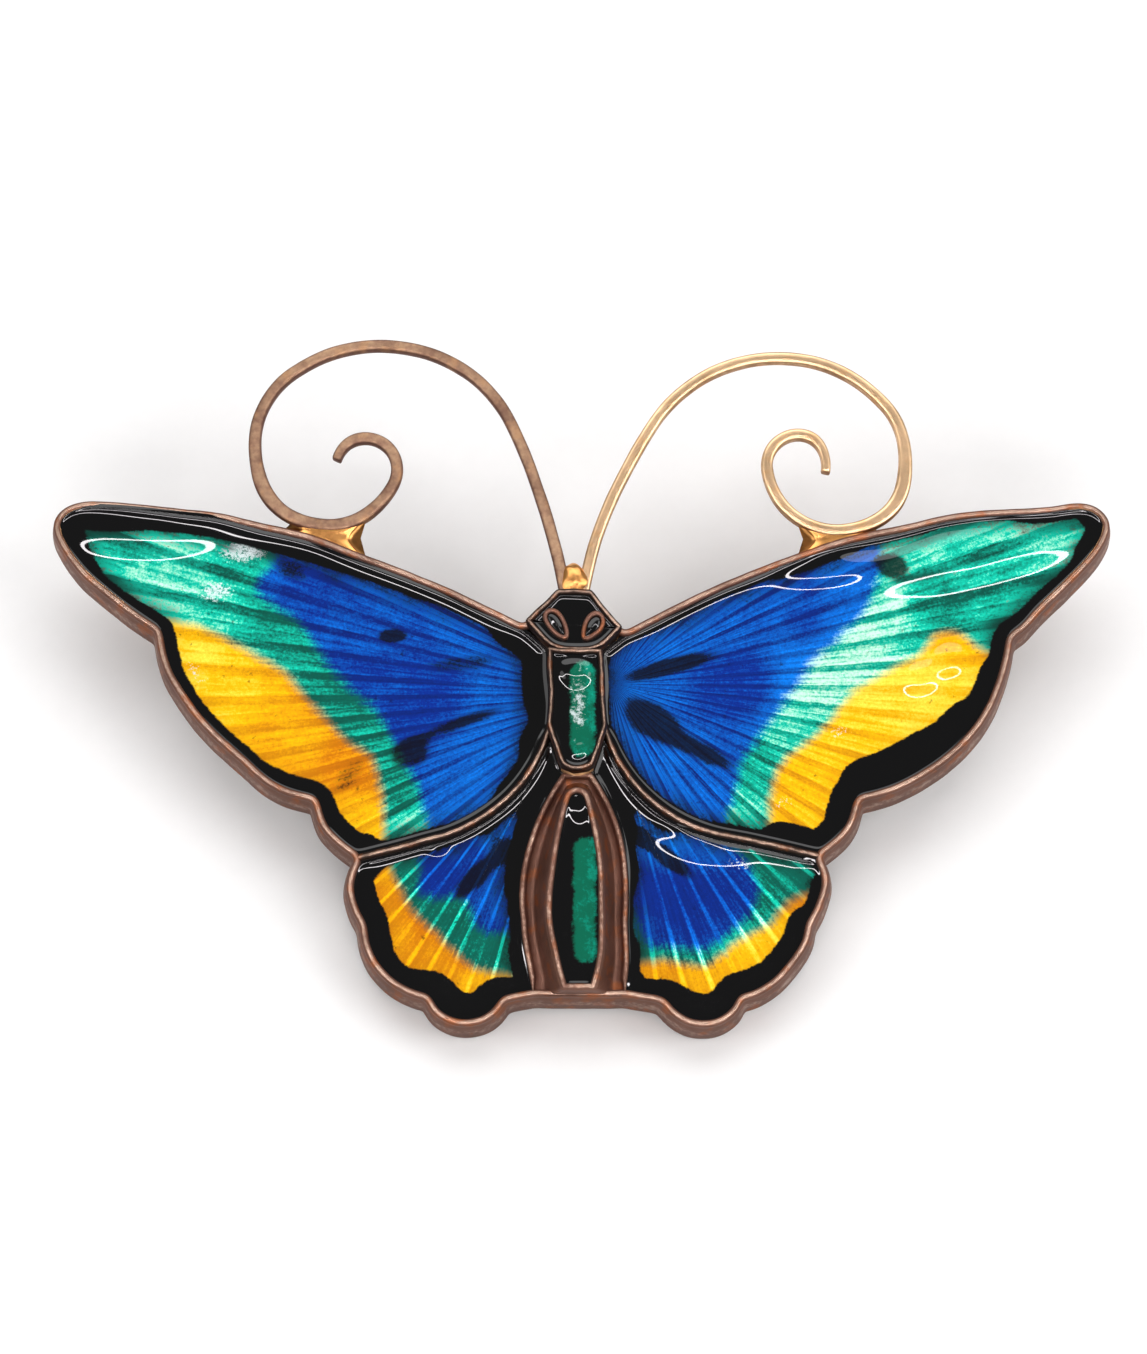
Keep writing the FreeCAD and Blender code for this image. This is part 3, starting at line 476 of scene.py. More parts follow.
def tray_edge():
    """Scalloped edge of the stamping, clockwise from the head."""
    return both_sides(
        [HEAD_TOP, HEAD_SIDE, LEAD_BEND, TIP_TOP, TIP, FORE_NOTCH, MID_NOTCH, WING_JOIN, SIDE_NOTCH,
         LOW_NOTCH, TAIL_NOTCH, TAIL], [0] + FORE_BULGES + HIND_BULGES)


def head_edge():
    """Six-sided head."""
    return both_sides([HEAD_TOP, HEAD_SIDE, HEAD_LOW], [0, 0])


def thorax_edge():
    """Long shield with a blunt tail."""
    return both_sides([THORAX_TOP, THORAX_WIDE, THORAX_LOW], [0, 0], bottom=0.3)


def abdomen_rim(counts=None):
    """Long pod of the abdomen's raised rim."""
    return both_sides([RIM_TOP, RIM_WIDE, RIM_TAIL], [0.2, 0.12], top=0.4, counts=counts)


def divider_line(side):
    """Middle line of the cloison between the wings, from the thorax out to the wing join."""
    line = np.vstack([arc(DIVIDER_ROOT, DIVIDER_BEND, DIVIDER_BULGE),
                      arc(DIVIDER_BEND, DIVIDER_MID, DIVIDER_BULGE),
                      arc(DIVIDER_MID, WING_JOIN, 0), [WING_JOIN]])
    return mean_along(even(line, 0.05, False), np.hanning(33), closed=False) * (side, 1)


def wing_cell(side, wing):
    """Closed line round a wing cell, hidden in the middle of the walls that hold it, and under the head
    and thorax."""
    divider = [tuple(p) for p in divider_line(1)[::6] if p[1] < DIVIDER_CLEAR] + [WING_JOIN]

    def inward(point):
        return point[0] - 2 * INSET, point[1]

    if wing == "forewing":
        line = outline([(0.9, 5.8), (2.15, 6.85), LEAD_BEND, TIP_TOP, TIP, FORE_NOTCH, MID_NOTCH]
                       + divider[::-1] + [inward(THORAX_WIDE), inward(THORAX_TOP)],
                       [0] + FORE_BULGES + [0] * (len(divider) + 2))
    else:
        line = outline([inward(THORAX_LOW), inward(THORAX_WIDE)] + divider
                       + [SIDE_NOTCH, LOW_NOTCH, TAIL_NOTCH, inward(TAIL), inward(RIDGE_WIDE),
                          inward(RIDGE_TOP)],
                       [0] * (len(divider) + 1) + HIND_BULGES + [-0.1, -0.65, 0])
    return set_in(eased(line), INSET) * (side, 1)


def collared(edge):
    """Head or thorax outline with crisp upper corners; under the head its foot is drawn round, like a
    collar, by a wider mean that comes in below a height."""
    crisp = softened(edge, 0.1)
    if edge[:, 1].max() < EYE[1]:
        return crisp
    share = np.clip((COLLAR_TOP - crisp[:, 1:]) / COLLAR_FADE, 0, 1)
    return crisp + (softened(edge, COLLAR_ROUND) - crisp) * share


def eye_oval(side, long, short, count):
    """Slanting egg round the middle of an eye: long times cosine t by short times sine t times
    (1 + egg * cosine t), turned by the slant."""
    turn = np.linspace(0, 2 * np.pi, count, endpoint=False)
    slant = math.radians(EYE_SLANT if side == 1 else 180 - EYE_SLANT)
    u, v = long * np.cos(turn), short * np.sin(turn) * (1 + EYE_EGG * np.cos(turn))
    return np.stack([side * EYE[0] + u * math.cos(slant) - v * math.sin(slant),
                     EYE[1] + u * math.sin(slant) + v * math.cos(slant)], axis=1)[::-1]


# ---- node materials -----------------------------------------------------------------------------

def feed(tree, node, inputs):
    """Give a node its inputs, by name or number: a node or a socket is linked, anything else is the
    value."""
    for key, value in inputs.items():
        if isinstance(value, bpy.types.Node):
            value = next(socket for socket in value.outputs if socket.enabled)
        if isinstance(value, bpy.types.NodeSocket):
            tree.links.new(value, node.inputs[key])
        else:
            if node.inputs[key].type == "RGBA" and len(value) == 3:
                value = (*value, 1)
            node.inputs[key].default_value = value


def add(tree, kind, inputs=None, stops=None, **settings):
    """Add one shader node: settings are its properties, and stops the colours or greys of a ramp."""
    made = tree.nodes.new("ShaderNode" + kind)
    for key, value in settings.items():
        setattr(made, key, value)
    feed(tree, made, inputs or {})
    if stops:
        ramp = made.color_ramp
        while len(ramp.elements) < len(stops):
            ramp.elements.new(0.5)
        for element, (place, shade) in zip(ramp.elements, stops):
            element.position = place
            element.color = (*shade, 1) if hasattr(shade, "__len__") else (shade, shade, shade, 1)
    return made


def begin_material(name):
    """A new material, its node tree and its shader."""
    material = bpy.data.materials.new(name)
    material.use_nodes = True
    return material, material.node_tree, material.node_tree.nodes["Principled BSDF"]


def per_mm(feature):
    """Noise scale on Object coordinates for a pattern this many millimetres across."""
    return 1 / (feature * MM)


def worn_gilding(name, bright, dark, rust, roughness=0.3, crest=True, wear=0.5, grain_mm=0.22,
                 ragged=0.3, spotting=0.6):
    """Silver-gilt with age: the eye sees it bright where it stands proud and dark elsewhere, with reddish
    spots where the copper under the gilding shows. The bright is partly rubbing and partly painted
    highlight, the dark partly a brown film and partly painted shade. crest says that the mesh knows where
    it stands proud;
    without it, faces that look up from the card are painted lighter and those that look down darker. wear
    says how far the bright reaches, ragged how far its edge strays, and spotting how strong the spots are."""
    material, tree, shader = begin_material(name)
    place = add(tree, "TexCoord").outputs["Object"]
    # handling wears the gilding in patches 1.6 mm across. The polishing marks are about 0.02 mm wide,
    # too fine to show, so they are drawn ten times as coarse (grain_mm)
    clouds = add(tree, "TexNoise", {"Vector": place, "Scale": per_mm(1.6), "Detail": 5.0,
                                    "Roughness": 0.62}).outputs["Fac"]
    grain = add(tree, "TexNoise", {"Vector": place, "Scale": per_mm(grain_mm),
                                   "Detail": 3.0}).outputs["Fac"]
    if crest:
        proud = add(tree, "Attribute", attribute_name="crest").outputs["Fac"]
    else:
        # painted light and shade: faces that look up from the card are painted lighter than those that
        # look down
        painted_top_light = add(tree, "SeparateXYZ", {0: add(tree, "NewGeometry").outputs["Normal"]})
        proud = add(tree, "MapRange", {"Value": painted_top_light.outputs["Z"], "From Min": -0.6, "From Max": 1.0,
                                       "To Min": 0.45, "To Max": 0.75})
    stray = add(tree, "Math", {0: clouds, 1: grain}, operation="ADD")
    stray = add(tree, "MapRange", {"Value": stray, "From Min": 0.6, "From Max": 1.4,
                                   "To Min": -ragged, "To Max": ragged})
    rubbed = add(tree, "Math", {0: proud, 1: stray}, operation="ADD")
    rubbed = add(tree, "MapRange", {"Value": rubbed, "From Min": 0.95 - wear, "From Max": 1.35 - wear},
                 interpolation_type="SMOOTHSTEP")
    tint = add(tree, "MapRange", {"Value": clouds, "From Min": 0.3, "From Max": 0.7,
                                  "To Min": 0.8, "To Max": 1.2})
    # spots 0.8 mm across, where the copper has come through
    spots = add(tree, "TexNoise", {"Vector": place, "Scale": per_mm(0.8), "Detail": 3.0, "W": 4.0},
                noise_dimensions="4D")
    spots = add(tree, "MapRange", {"Value": spots.outputs["Fac"], "From Min": 0.53, "From Max": 0.66,
                                   "To Max": spotting})
    shade = add(tree, "Mix", {0: rubbed, 6: dark, 7: bright}, data_type="RGBA")
    shade = add(tree, "HueSaturation", {"Color": shade, "Value": tint})
    shade = add(tree, "Mix", {0: spots, 6: shade, 7: rust}, data_type="RGBA")
    rough = add(tree, "MapRange", {"Value": rubbed, "To Min": roughness + 0.25, "To Max": roughness})
    pits = add(tree, "Bump", {"Height": grain, "Strength": 0.35, "Distance": 0.02 * MM})
    dents = add(tree, "Bump", {"Height": clouds, "Strength": 0.5, "Distance": 0.06 * MM,
                               "Normal": pits})
    feed(tree, shader, {"Base Color": shade, "Roughness": rough, "Normal": dents, "Metallic": 1.0})
    return material


# the skin of vitreous enamel is a clear, fire-polished glass of index 1.47: it gives the eye one sharp
# highlight over colours that themselves have no shine
GLASS_SKIN = {"Roughness": 0.4, "Specular IOR Level": 0.0, "Coat Weight": 1.0, "Coat Roughness": 0.03,
              "Coat IOR": 1.47}


def fired_wing_enamel(name, colours, sizes, ray_light_stops, ray_light_strength):
    """Translucent vitreous enamel fired over engine-turned silver. The eye sees three colours melted into
    each other and an opaque black border under one smooth polished skin, with the rays beneath painted as
    bright and dark faces: painted light and painted shade. ray_light_stops are the stops of one ray's
    painted brightness, and ray_light_strength says how much brighter and darker its faces are painted."""
    material, tree, shader = begin_material(name)
    place = add(tree, "TexCoord").outputs["Object"]
    field = {called: add(tree, "Attribute", attribute_name=called).outputs["Fac"] for called in (
        "green", "yellow", "black", "light", "dark", "bloom", "ray", "radius")}

    # three noises about zero: flecks of unmelted frit (its grains are about 0.05 mm, drawn at 0.13 mm so
    # that they show), clouds of thickness, and threads drawn out along the rays, six to a ray
    fan = add(tree, "CombineXYZ", {0: field["ray"], 1: field["radius"]})
    fleck, clouds, threads = (
        add(tree, "Math", {0: add(tree, "TexNoise", {
            "Vector": where, "Scale": scale, "Detail": 4.0, "Roughness": breakup}).outputs["Fac"],
            1: -0.5}, operation="ADD")
        for where, scale, breakup in (
            (place, per_mm(0.13), 0.75), (place, per_mm(1.1), 0.5),
            (add(tree, "Mapping", {"Vector": fan, "Scale": (6.0, 0.4, 1.0)}), 1.0, 0.65)))
    stray = add(tree, "Math", {0: threads, 1: 1.6, 2: clouds}, operation="MULTIPLY_ADD")

    # painted highlight and painted shade on the rays: each ray is a bright face and a dark face, painted
    # stronger in some places than in others, as if cut deeper there
    turn = add(tree, "Math", {0: threads, 1: 0.14, 2: field["ray"]}, operation="MULTIPLY_ADD")
    turn = add(tree, "Math", {0: turn}, operation="FRACT")
    ray_face_light = add(tree, "ValToRGB", {0: turn}, stops=ray_light_stops).outputs[0]
    strokes = add(tree, "TexNoise", {
        "Vector": add(tree, "Mapping", {"Vector": fan, "Scale": (0.9, 0.22, 1.0)}), "Scale": 1.0,
        "Detail": 2.0})
    painted_ray_light = add(tree, "MapRange", {"Value": strokes.outputs["Fac"], "From Min": 0.3, "From Max": 0.65,
                                  "To Min": 0.3, "To Max": 1.0})
    for share in (add(tree, "Math", {0: ray_face_light, 1: -0.6}, operation="ADD"), ray_light_strength):
        painted_ray_light = add(tree, "Math", {0: painted_ray_light, 1: share}, operation="MULTIPLY")

    def melted(called, straying, reach):
        """0 to 1 across a colour's edge, which strays along the rays and breaks up into flecks."""
        edge = field[called]
        for noise, share in ((stray, straying), (fleck, straying * 1.3)):
            edge = add(tree, "Math", {0: noise, 1: share, 2: edge}, operation="MULTIPLY_ADD")
        return add(tree, "MapRange", {"Value": edge, "From Min": -reach, "From Max": reach},
                   interpolation_type="SMOOTHSTEP")

    # the three colours, each paler where the glass is thin and on the rays' painted bright faces
    light = -0.12
    for part, share in ((field["light"], 1.0), (painted_ray_light, 0.6), (stray, 0.7), (fleck, 1.3)):
        light = add(tree, "Math", {0: part, 1: share, 2: light}, operation="MULTIPLY_ADD",
                    use_clamp=part is fleck)
    shade = add(tree, "Mix", {0: light, 6: colours.blue, 7: colours.sky}, data_type="RGBA")
    green = add(tree, "ValToRGB", {0: light}, stops=[
        (0.0, colours.teal), (0.6, colours.mint), (1.0, colours.pale_mint)])
    softer = add(tree, "Math", {0: light, 1: field["light"]}, operation="ADD")
    softer = add(tree, "Math", {0: softer, 1: 0.5}, operation="MULTIPLY")
    yellow = add(tree, "ValToRGB", {0: softer}, stops=[
        (0.0, colours.orange), (0.55, colours.yellow), (1.0, colours.pale_yellow)])
    for cover, over in ((melted("green", 0.5, 0.35), green), (melted("yellow", 0.35, 0.33), yellow)):
        shade = add(tree, "Mix", {0: cover, 6: shade, 7: over}, data_type="RGBA")

    # the rays' painted light, with their threads and flecks, brightens the colours, less under the yellow
    ray_light_and_grain = 0.0
    for part, share in ((painted_ray_light, 0.6), (threads, 0.9), (fleck, 0.8)):
        ray_light_and_grain = add(tree, "Math", {0: part, 1: share, 2: ray_light_and_grain}, operation="MULTIPLY_ADD")
    calm = add(tree, "MapRange", {"Value": field["yellow"], "From Min": -0.3, "From Max": 0.3,
                                  "To Min": 1.0, "To Max": 0.5})
    glow = add(tree, "Math", {0: ray_light_and_grain, 1: calm, 2: 1.0}, operation="MULTIPLY_ADD")
    shade = add(tree, "HueSaturation", {"Color": shade, "Value": glow})

    # soot: dark clouds in the glass and specks 0.4 mm across burnt into it
    specks = add(tree, "TexNoise", {"Vector": place, "Scale": per_mm(0.42), "Detail": 3.0,
                                    "Roughness": 0.6})
    specks = add(tree, "MapRange", {"Value": specks.outputs["Fac"], "From Min": 0.66, "From Max": 0.74,
                                    "To Max": 0.7})
    dark = field["dark"]
    for noise, share in ((stray, 0.5), (fleck, 0.9)):
        dark = add(tree, "Math", {0: noise, 1: share, 2: dark}, operation="MULTIPLY_ADD")
    dark = add(tree, "MapRange", {"Value": dark, "From Min": 0.22, "From Max": 0.62},
               interpolation_type="SMOOTHSTEP")
    dark = add(tree, "Math", {0: dark, 1: specks}, operation="MAXIMUM")
    # painted glints: pale specks where light sparkles on the glass
    bloom = add(tree, "Math", {0: fleck, 1: 2.4, 2: field["bloom"]}, operation="MULTIPLY_ADD")
    bloom = add(tree, "MapRange", {"Value": bloom, "From Min": 0.6, "From Max": 0.8, "To Max": 0.85})
    # the black border, with a smoky haze inside it that the yellow hardly takes
    haze = field["black"]
    for noise, share in ((fleck, 2.0), (stray, 1.0)):
        haze = add(tree, "Math", {0: noise, 1: share, 2: haze}, operation="MULTIPLY_ADD")
    haze = add(tree, "MapRange", {"Value": haze, "From Min": -0.7, "From Max": 0.2, "To Max": 0.85},
               interpolation_type="SMOOTHSTEP")
    takes = add(tree, "MapRange", {"Value": field["yellow"], "From Min": -0.3, "From Max": 0.3,
                                   "To Min": 1.0, "To Max": 0.15})
    haze = add(tree, "Math", {0: haze, 1: takes}, operation="MULTIPLY")
    inky = add(tree, "Mix", {0: 0.93, 6: shade, 7: colours.black}, data_type="RGBA")
    for cover, over in ((dark, inky), (bloom, colours.bloom), (haze, colours.black),
                        (melted("black", 0.12, 0.05), colours.black)):
        shade = add(tree, "Mix", {0: cover, 6: shade, 7: over}, data_type="RGBA")

    # the rays are ridges under the glass, and end at the black
    clear = add(tree, "Math", {0: field["black"], 1: 0.0}, operation="LESS_THAN")
    ridge = add(tree, "Math", {0: add(tree, "Math", {0: turn, 1: 0.5}, operation="SUBTRACT")},
                operation="ABSOLUTE")
    ridge = add(tree, "Math", {0: ridge, 1: clear}, operation="MULTIPLY")
    ridges = add(tree, "Bump", {"Height": ridge, "Strength": 0.6, "Distance": sizes.ray_depth})
    feed(tree, shader, {"Base Color": shade, "Normal": ridges, **GLASS_SKIN})
    return material


def fired_body_enamel(name, colours):
    """The body's enamel: the eye sees a mottled green stripe sunk in black, polished like the wings'."""
    material, tree, shader = begin_material(name)
    place = add(tree, "TexCoord").outputs["Object"]
    green, light, bloom = (add(tree, "Attribute", attribute_name=called).outputs["Fac"]
                           for called in ("green", "light", "bloom"))
    # frit grains of about 0.05 mm, drawn at 0.14 mm so that they show, and clouds 0.7 mm across
    flecks = add(tree, "TexNoise", {"Vector": place, "Scale": per_mm(0.14), "Detail": 5.0,
                                    "Roughness": 0.75})
    clouds = add(tree, "TexNoise", {"Vector": place, "Scale": per_mm(0.7), "Detail": 3.0})
    stray = add(tree, "Math", {0: flecks.outputs["Fac"], 1: -1.0}, operation="ADD")
    stray = add(tree, "Math", {0: stray, 1: clouds.outputs["Fac"]}, operation="ADD")
    # the flecks and clouds stray into the stripe's edge, its thin places and its painted glints
    edge, thin, glint_specks = (add(tree, "Math", {0: stray, 1: share, 2: start}, operation="MULTIPLY_ADD")
                         for start, share in ((green, 0.35), (light, 1.6), (bloom, 1.2)))
    edge = add(tree, "MapRange", {"Value": edge, "From Min": -0.05, "From Max": 0.14},
               interpolation_type="SMOOTHSTEP")
    thin = add(tree, "MapRange", {"Value": thin, "From Min": 0.3, "From Max": 1.6})
    glint_specks = add(tree, "MapRange", {"Value": glint_specks, "From Min": 0.55, "From Max": 0.75, "To Max": 0.7})
    mottled = add(tree, "Mix", {0: thin, 6: colours.body_green, 7: colours.mint}, data_type="RGBA")
    shade = add(tree, "Mix", {0: edge, 6: colours.black, 7: mottled}, data_type="RGBA")
    shade = add(tree, "Mix", {0: glint_specks, 6: shade, 7: colours.bloom}, data_type="RGBA")
    feed(tree, shader, {"Base Color": shade, **GLASS_SKIN})
    return material


# ---- sections and sheets ------------------------------------------------------------------------

BEAD_POINTS, SIDE_POINTS, FOOT_POINTS, HIDDEN_POINTS = 13, 13, 5, 3
# the tray's side spreads this far at its foot, which is rounded over this height; a waist this deep
# runs under the bead
EDGE_FLARE, EDGE_FOOT, EDGE_WAIST = 0.24, 0.16, 0.03
# hidden foot of the walls that stand on the tray
WALL_FOOT = 1.3


def turn_points(start, finish, count):
    """Cosine and sine at even angles, in degrees."""
    angle = np.radians(np.linspace(start, finish, count))
    return np.cos(angle), np.sin(angle)


def ring_turn(count):
    """Angles all the way round, in radians, without the last one."""
    return np.linspace(0, 2 * np.pi, count, endpoint=False)


def unevenness(sizes, run, whole, waves, seed):
    """The hand's wobble at each point of a line, as a column that adds to a section."""
    return sizes.hand_wobble / MM * wobble(run, whole, waves, seed)[:, None]


def edge_section(sizes, run, whole):
    """Section of the tray's outer wall: offsets outwards from the edge of the stamping, heights over its
    back. The bead is half a circle. The side, with t from 0 under the bead to 1 at the foot, lies at
    bead + flare * t to the power 1.5 + belly * sine(pi t) to the power 1.2, less a waist of half a sine
    over the first fifth. The foot is a quarter of an ellipse, and a hidden wall inside closes the ring."""
    half, rise, belly = sizes.rim_half / MM, sizes.rim_rise / MM, sizes.side_belly / MM
    top = TRAY_HEIGHT + rise - half
    cosine, sine = turn_points(180, 0, BEAD_POINTS)
    bead_x, bead_z = half * cosine - INSET, top + half * sine
    t = np.linspace(0, 1, SIDE_POINTS + 1)[1:]
    side_x = (half - INSET + EDGE_FLARE * t ** 1.5 + belly * np.sin(np.pi * t) ** 1.2
              - EDGE_WAIST * np.sin(np.pi * np.minimum(t * 5, 1)))
    side_z = top - (top - EDGE_FOOT) * t
    cosine, sine = turn_points(0, -90, FOOT_POINTS + 1)
    foot_x = (half + EDGE_FLARE) * cosine[1:] - INSET
    foot_z = EDGE_FOOT + EDGE_FOOT * sine[1:]
    x = np.concatenate([bead_x, side_x, foot_x, [-0.2, -0.2, -half - INSET]])
    z = np.concatenate([bead_z, side_z, foot_z, [0.1, 1.2, 1.25]])
    seen = np.arange(len(x)) < len(x) - HIDDEN_POINTS
    return (x + unevenness(sizes, run, whole, (1.3, 2.9, 5.1, 11.0), 1) * seen,
            z + unevenness(sizes, run, whole, (1.7, 3.7, 8.0), 2) * (z > WALL_FOOT))


def edge_light_and_wear():
    """How light each part of the edge section is painted, partly as rubbing and partly as painted
    highlight:
    most on the bead's top, then the middle of the side and the foot, with painted shade between.
    """
    sine = turn_points(180, 0, BEAD_POINTS)[1]
    t = np.linspace(0, 1, SIDE_POINTS + 1)[1:]
    return np.concatenate([0.2 + 0.85 * sine ** 4, 0.45 + 0.35 * np.sin(np.pi * t) ** 2,
                           np.full(FOOT_POINTS, 0.7), np.zeros(HIDDEN_POINTS)])


def wall_section(sizes, top, foot, run, whole, seed, half):
    """Section of an upright wall: half a circle on two sides that lean in a little to a hidden foot."""
    crown = top + sizes.rim_rise / MM - half
    cosine, sine = turn_points(180, 0, BEAD_POINTS)
    x = half * np.concatenate([cosine, [0.96, 0.94, -0.94, -0.96]])
    z = np.concatenate([crown + half * sine, [(crown + foot) / 2, foot, foot, (crown + foot) / 2]])
    return (x + unevenness(sizes, run, whole, (0.9, 2.3, 5.0), seed),
            z + unevenness(sizes, run, whole, (1.1, 2.7, 6.0), seed + 1) * (z > crown - 0.01))


def rim_sweep(name, line, closed, top, sizes, seed, half=None, foot=WALL_FOOT, shine=1.0, domed=False):
    """A rounded rim carried along a line, light along its top, partly rubbed and partly painted highlight,
    and dark down its sides as painted shade: 0.9 * shine * sine to the fourth.
    """
    half = half or sizes.rim_half / MM
    sine = turn_points(180, 0, BEAD_POINTS)[1]
    return swept(name, line, closed,
                 lambda run, whole: wall_section(sizes, top, foot, run, whole, seed, half),
                 np.concatenate([0.1 + 0.9 * shine * sine ** 4, [0.1, 0, 0, 0.1]]), domed=domed)


def on_plan(points):
    """Where points of the brooch lie on the drawing of the colours."""
    return np.stack(fitted(points[:, 0], points[:, 1]), axis=1) * PLAN_SCALE + PLAN_SHIFT


def enamel_fill(name, line, centre, rings, level, thickness, fields_of, crowd):
    """Enamel in a cell: rings shrink from the cell's line to its centre, share of the way t to the power
    crowd, so they lie closest along the rim; level(points, distance) gives the skin's height."""
    line = even(line, 0.11, True)
    share = (np.arange(rings) / rings) ** crowd
    flat = np.array(centre) + (line - centre)[None] * (1 - share)[:, None, None]
    columns = len(line)
    points = np.vstack([line, flat.reshape(-1, 2), [centre], [centre]])
    distance = np.abs(nearest(points, even(line, 0.25, True), True))
    height = level(points, distance)
    height[:columns] -= thickness
    height[-2] -= thickness
    hub = (rings + 1) * columns
    fans = [(hub, np.arange(columns)), (hub + 1, np.arange(rings * columns, hub)[::-1])]
    return make_mesh(name, to_world(points[:, 0], points[:, 1], height),
                     grid_faces(rings + 1, columns, False), fans, fields_of(on_plan(points), distance))
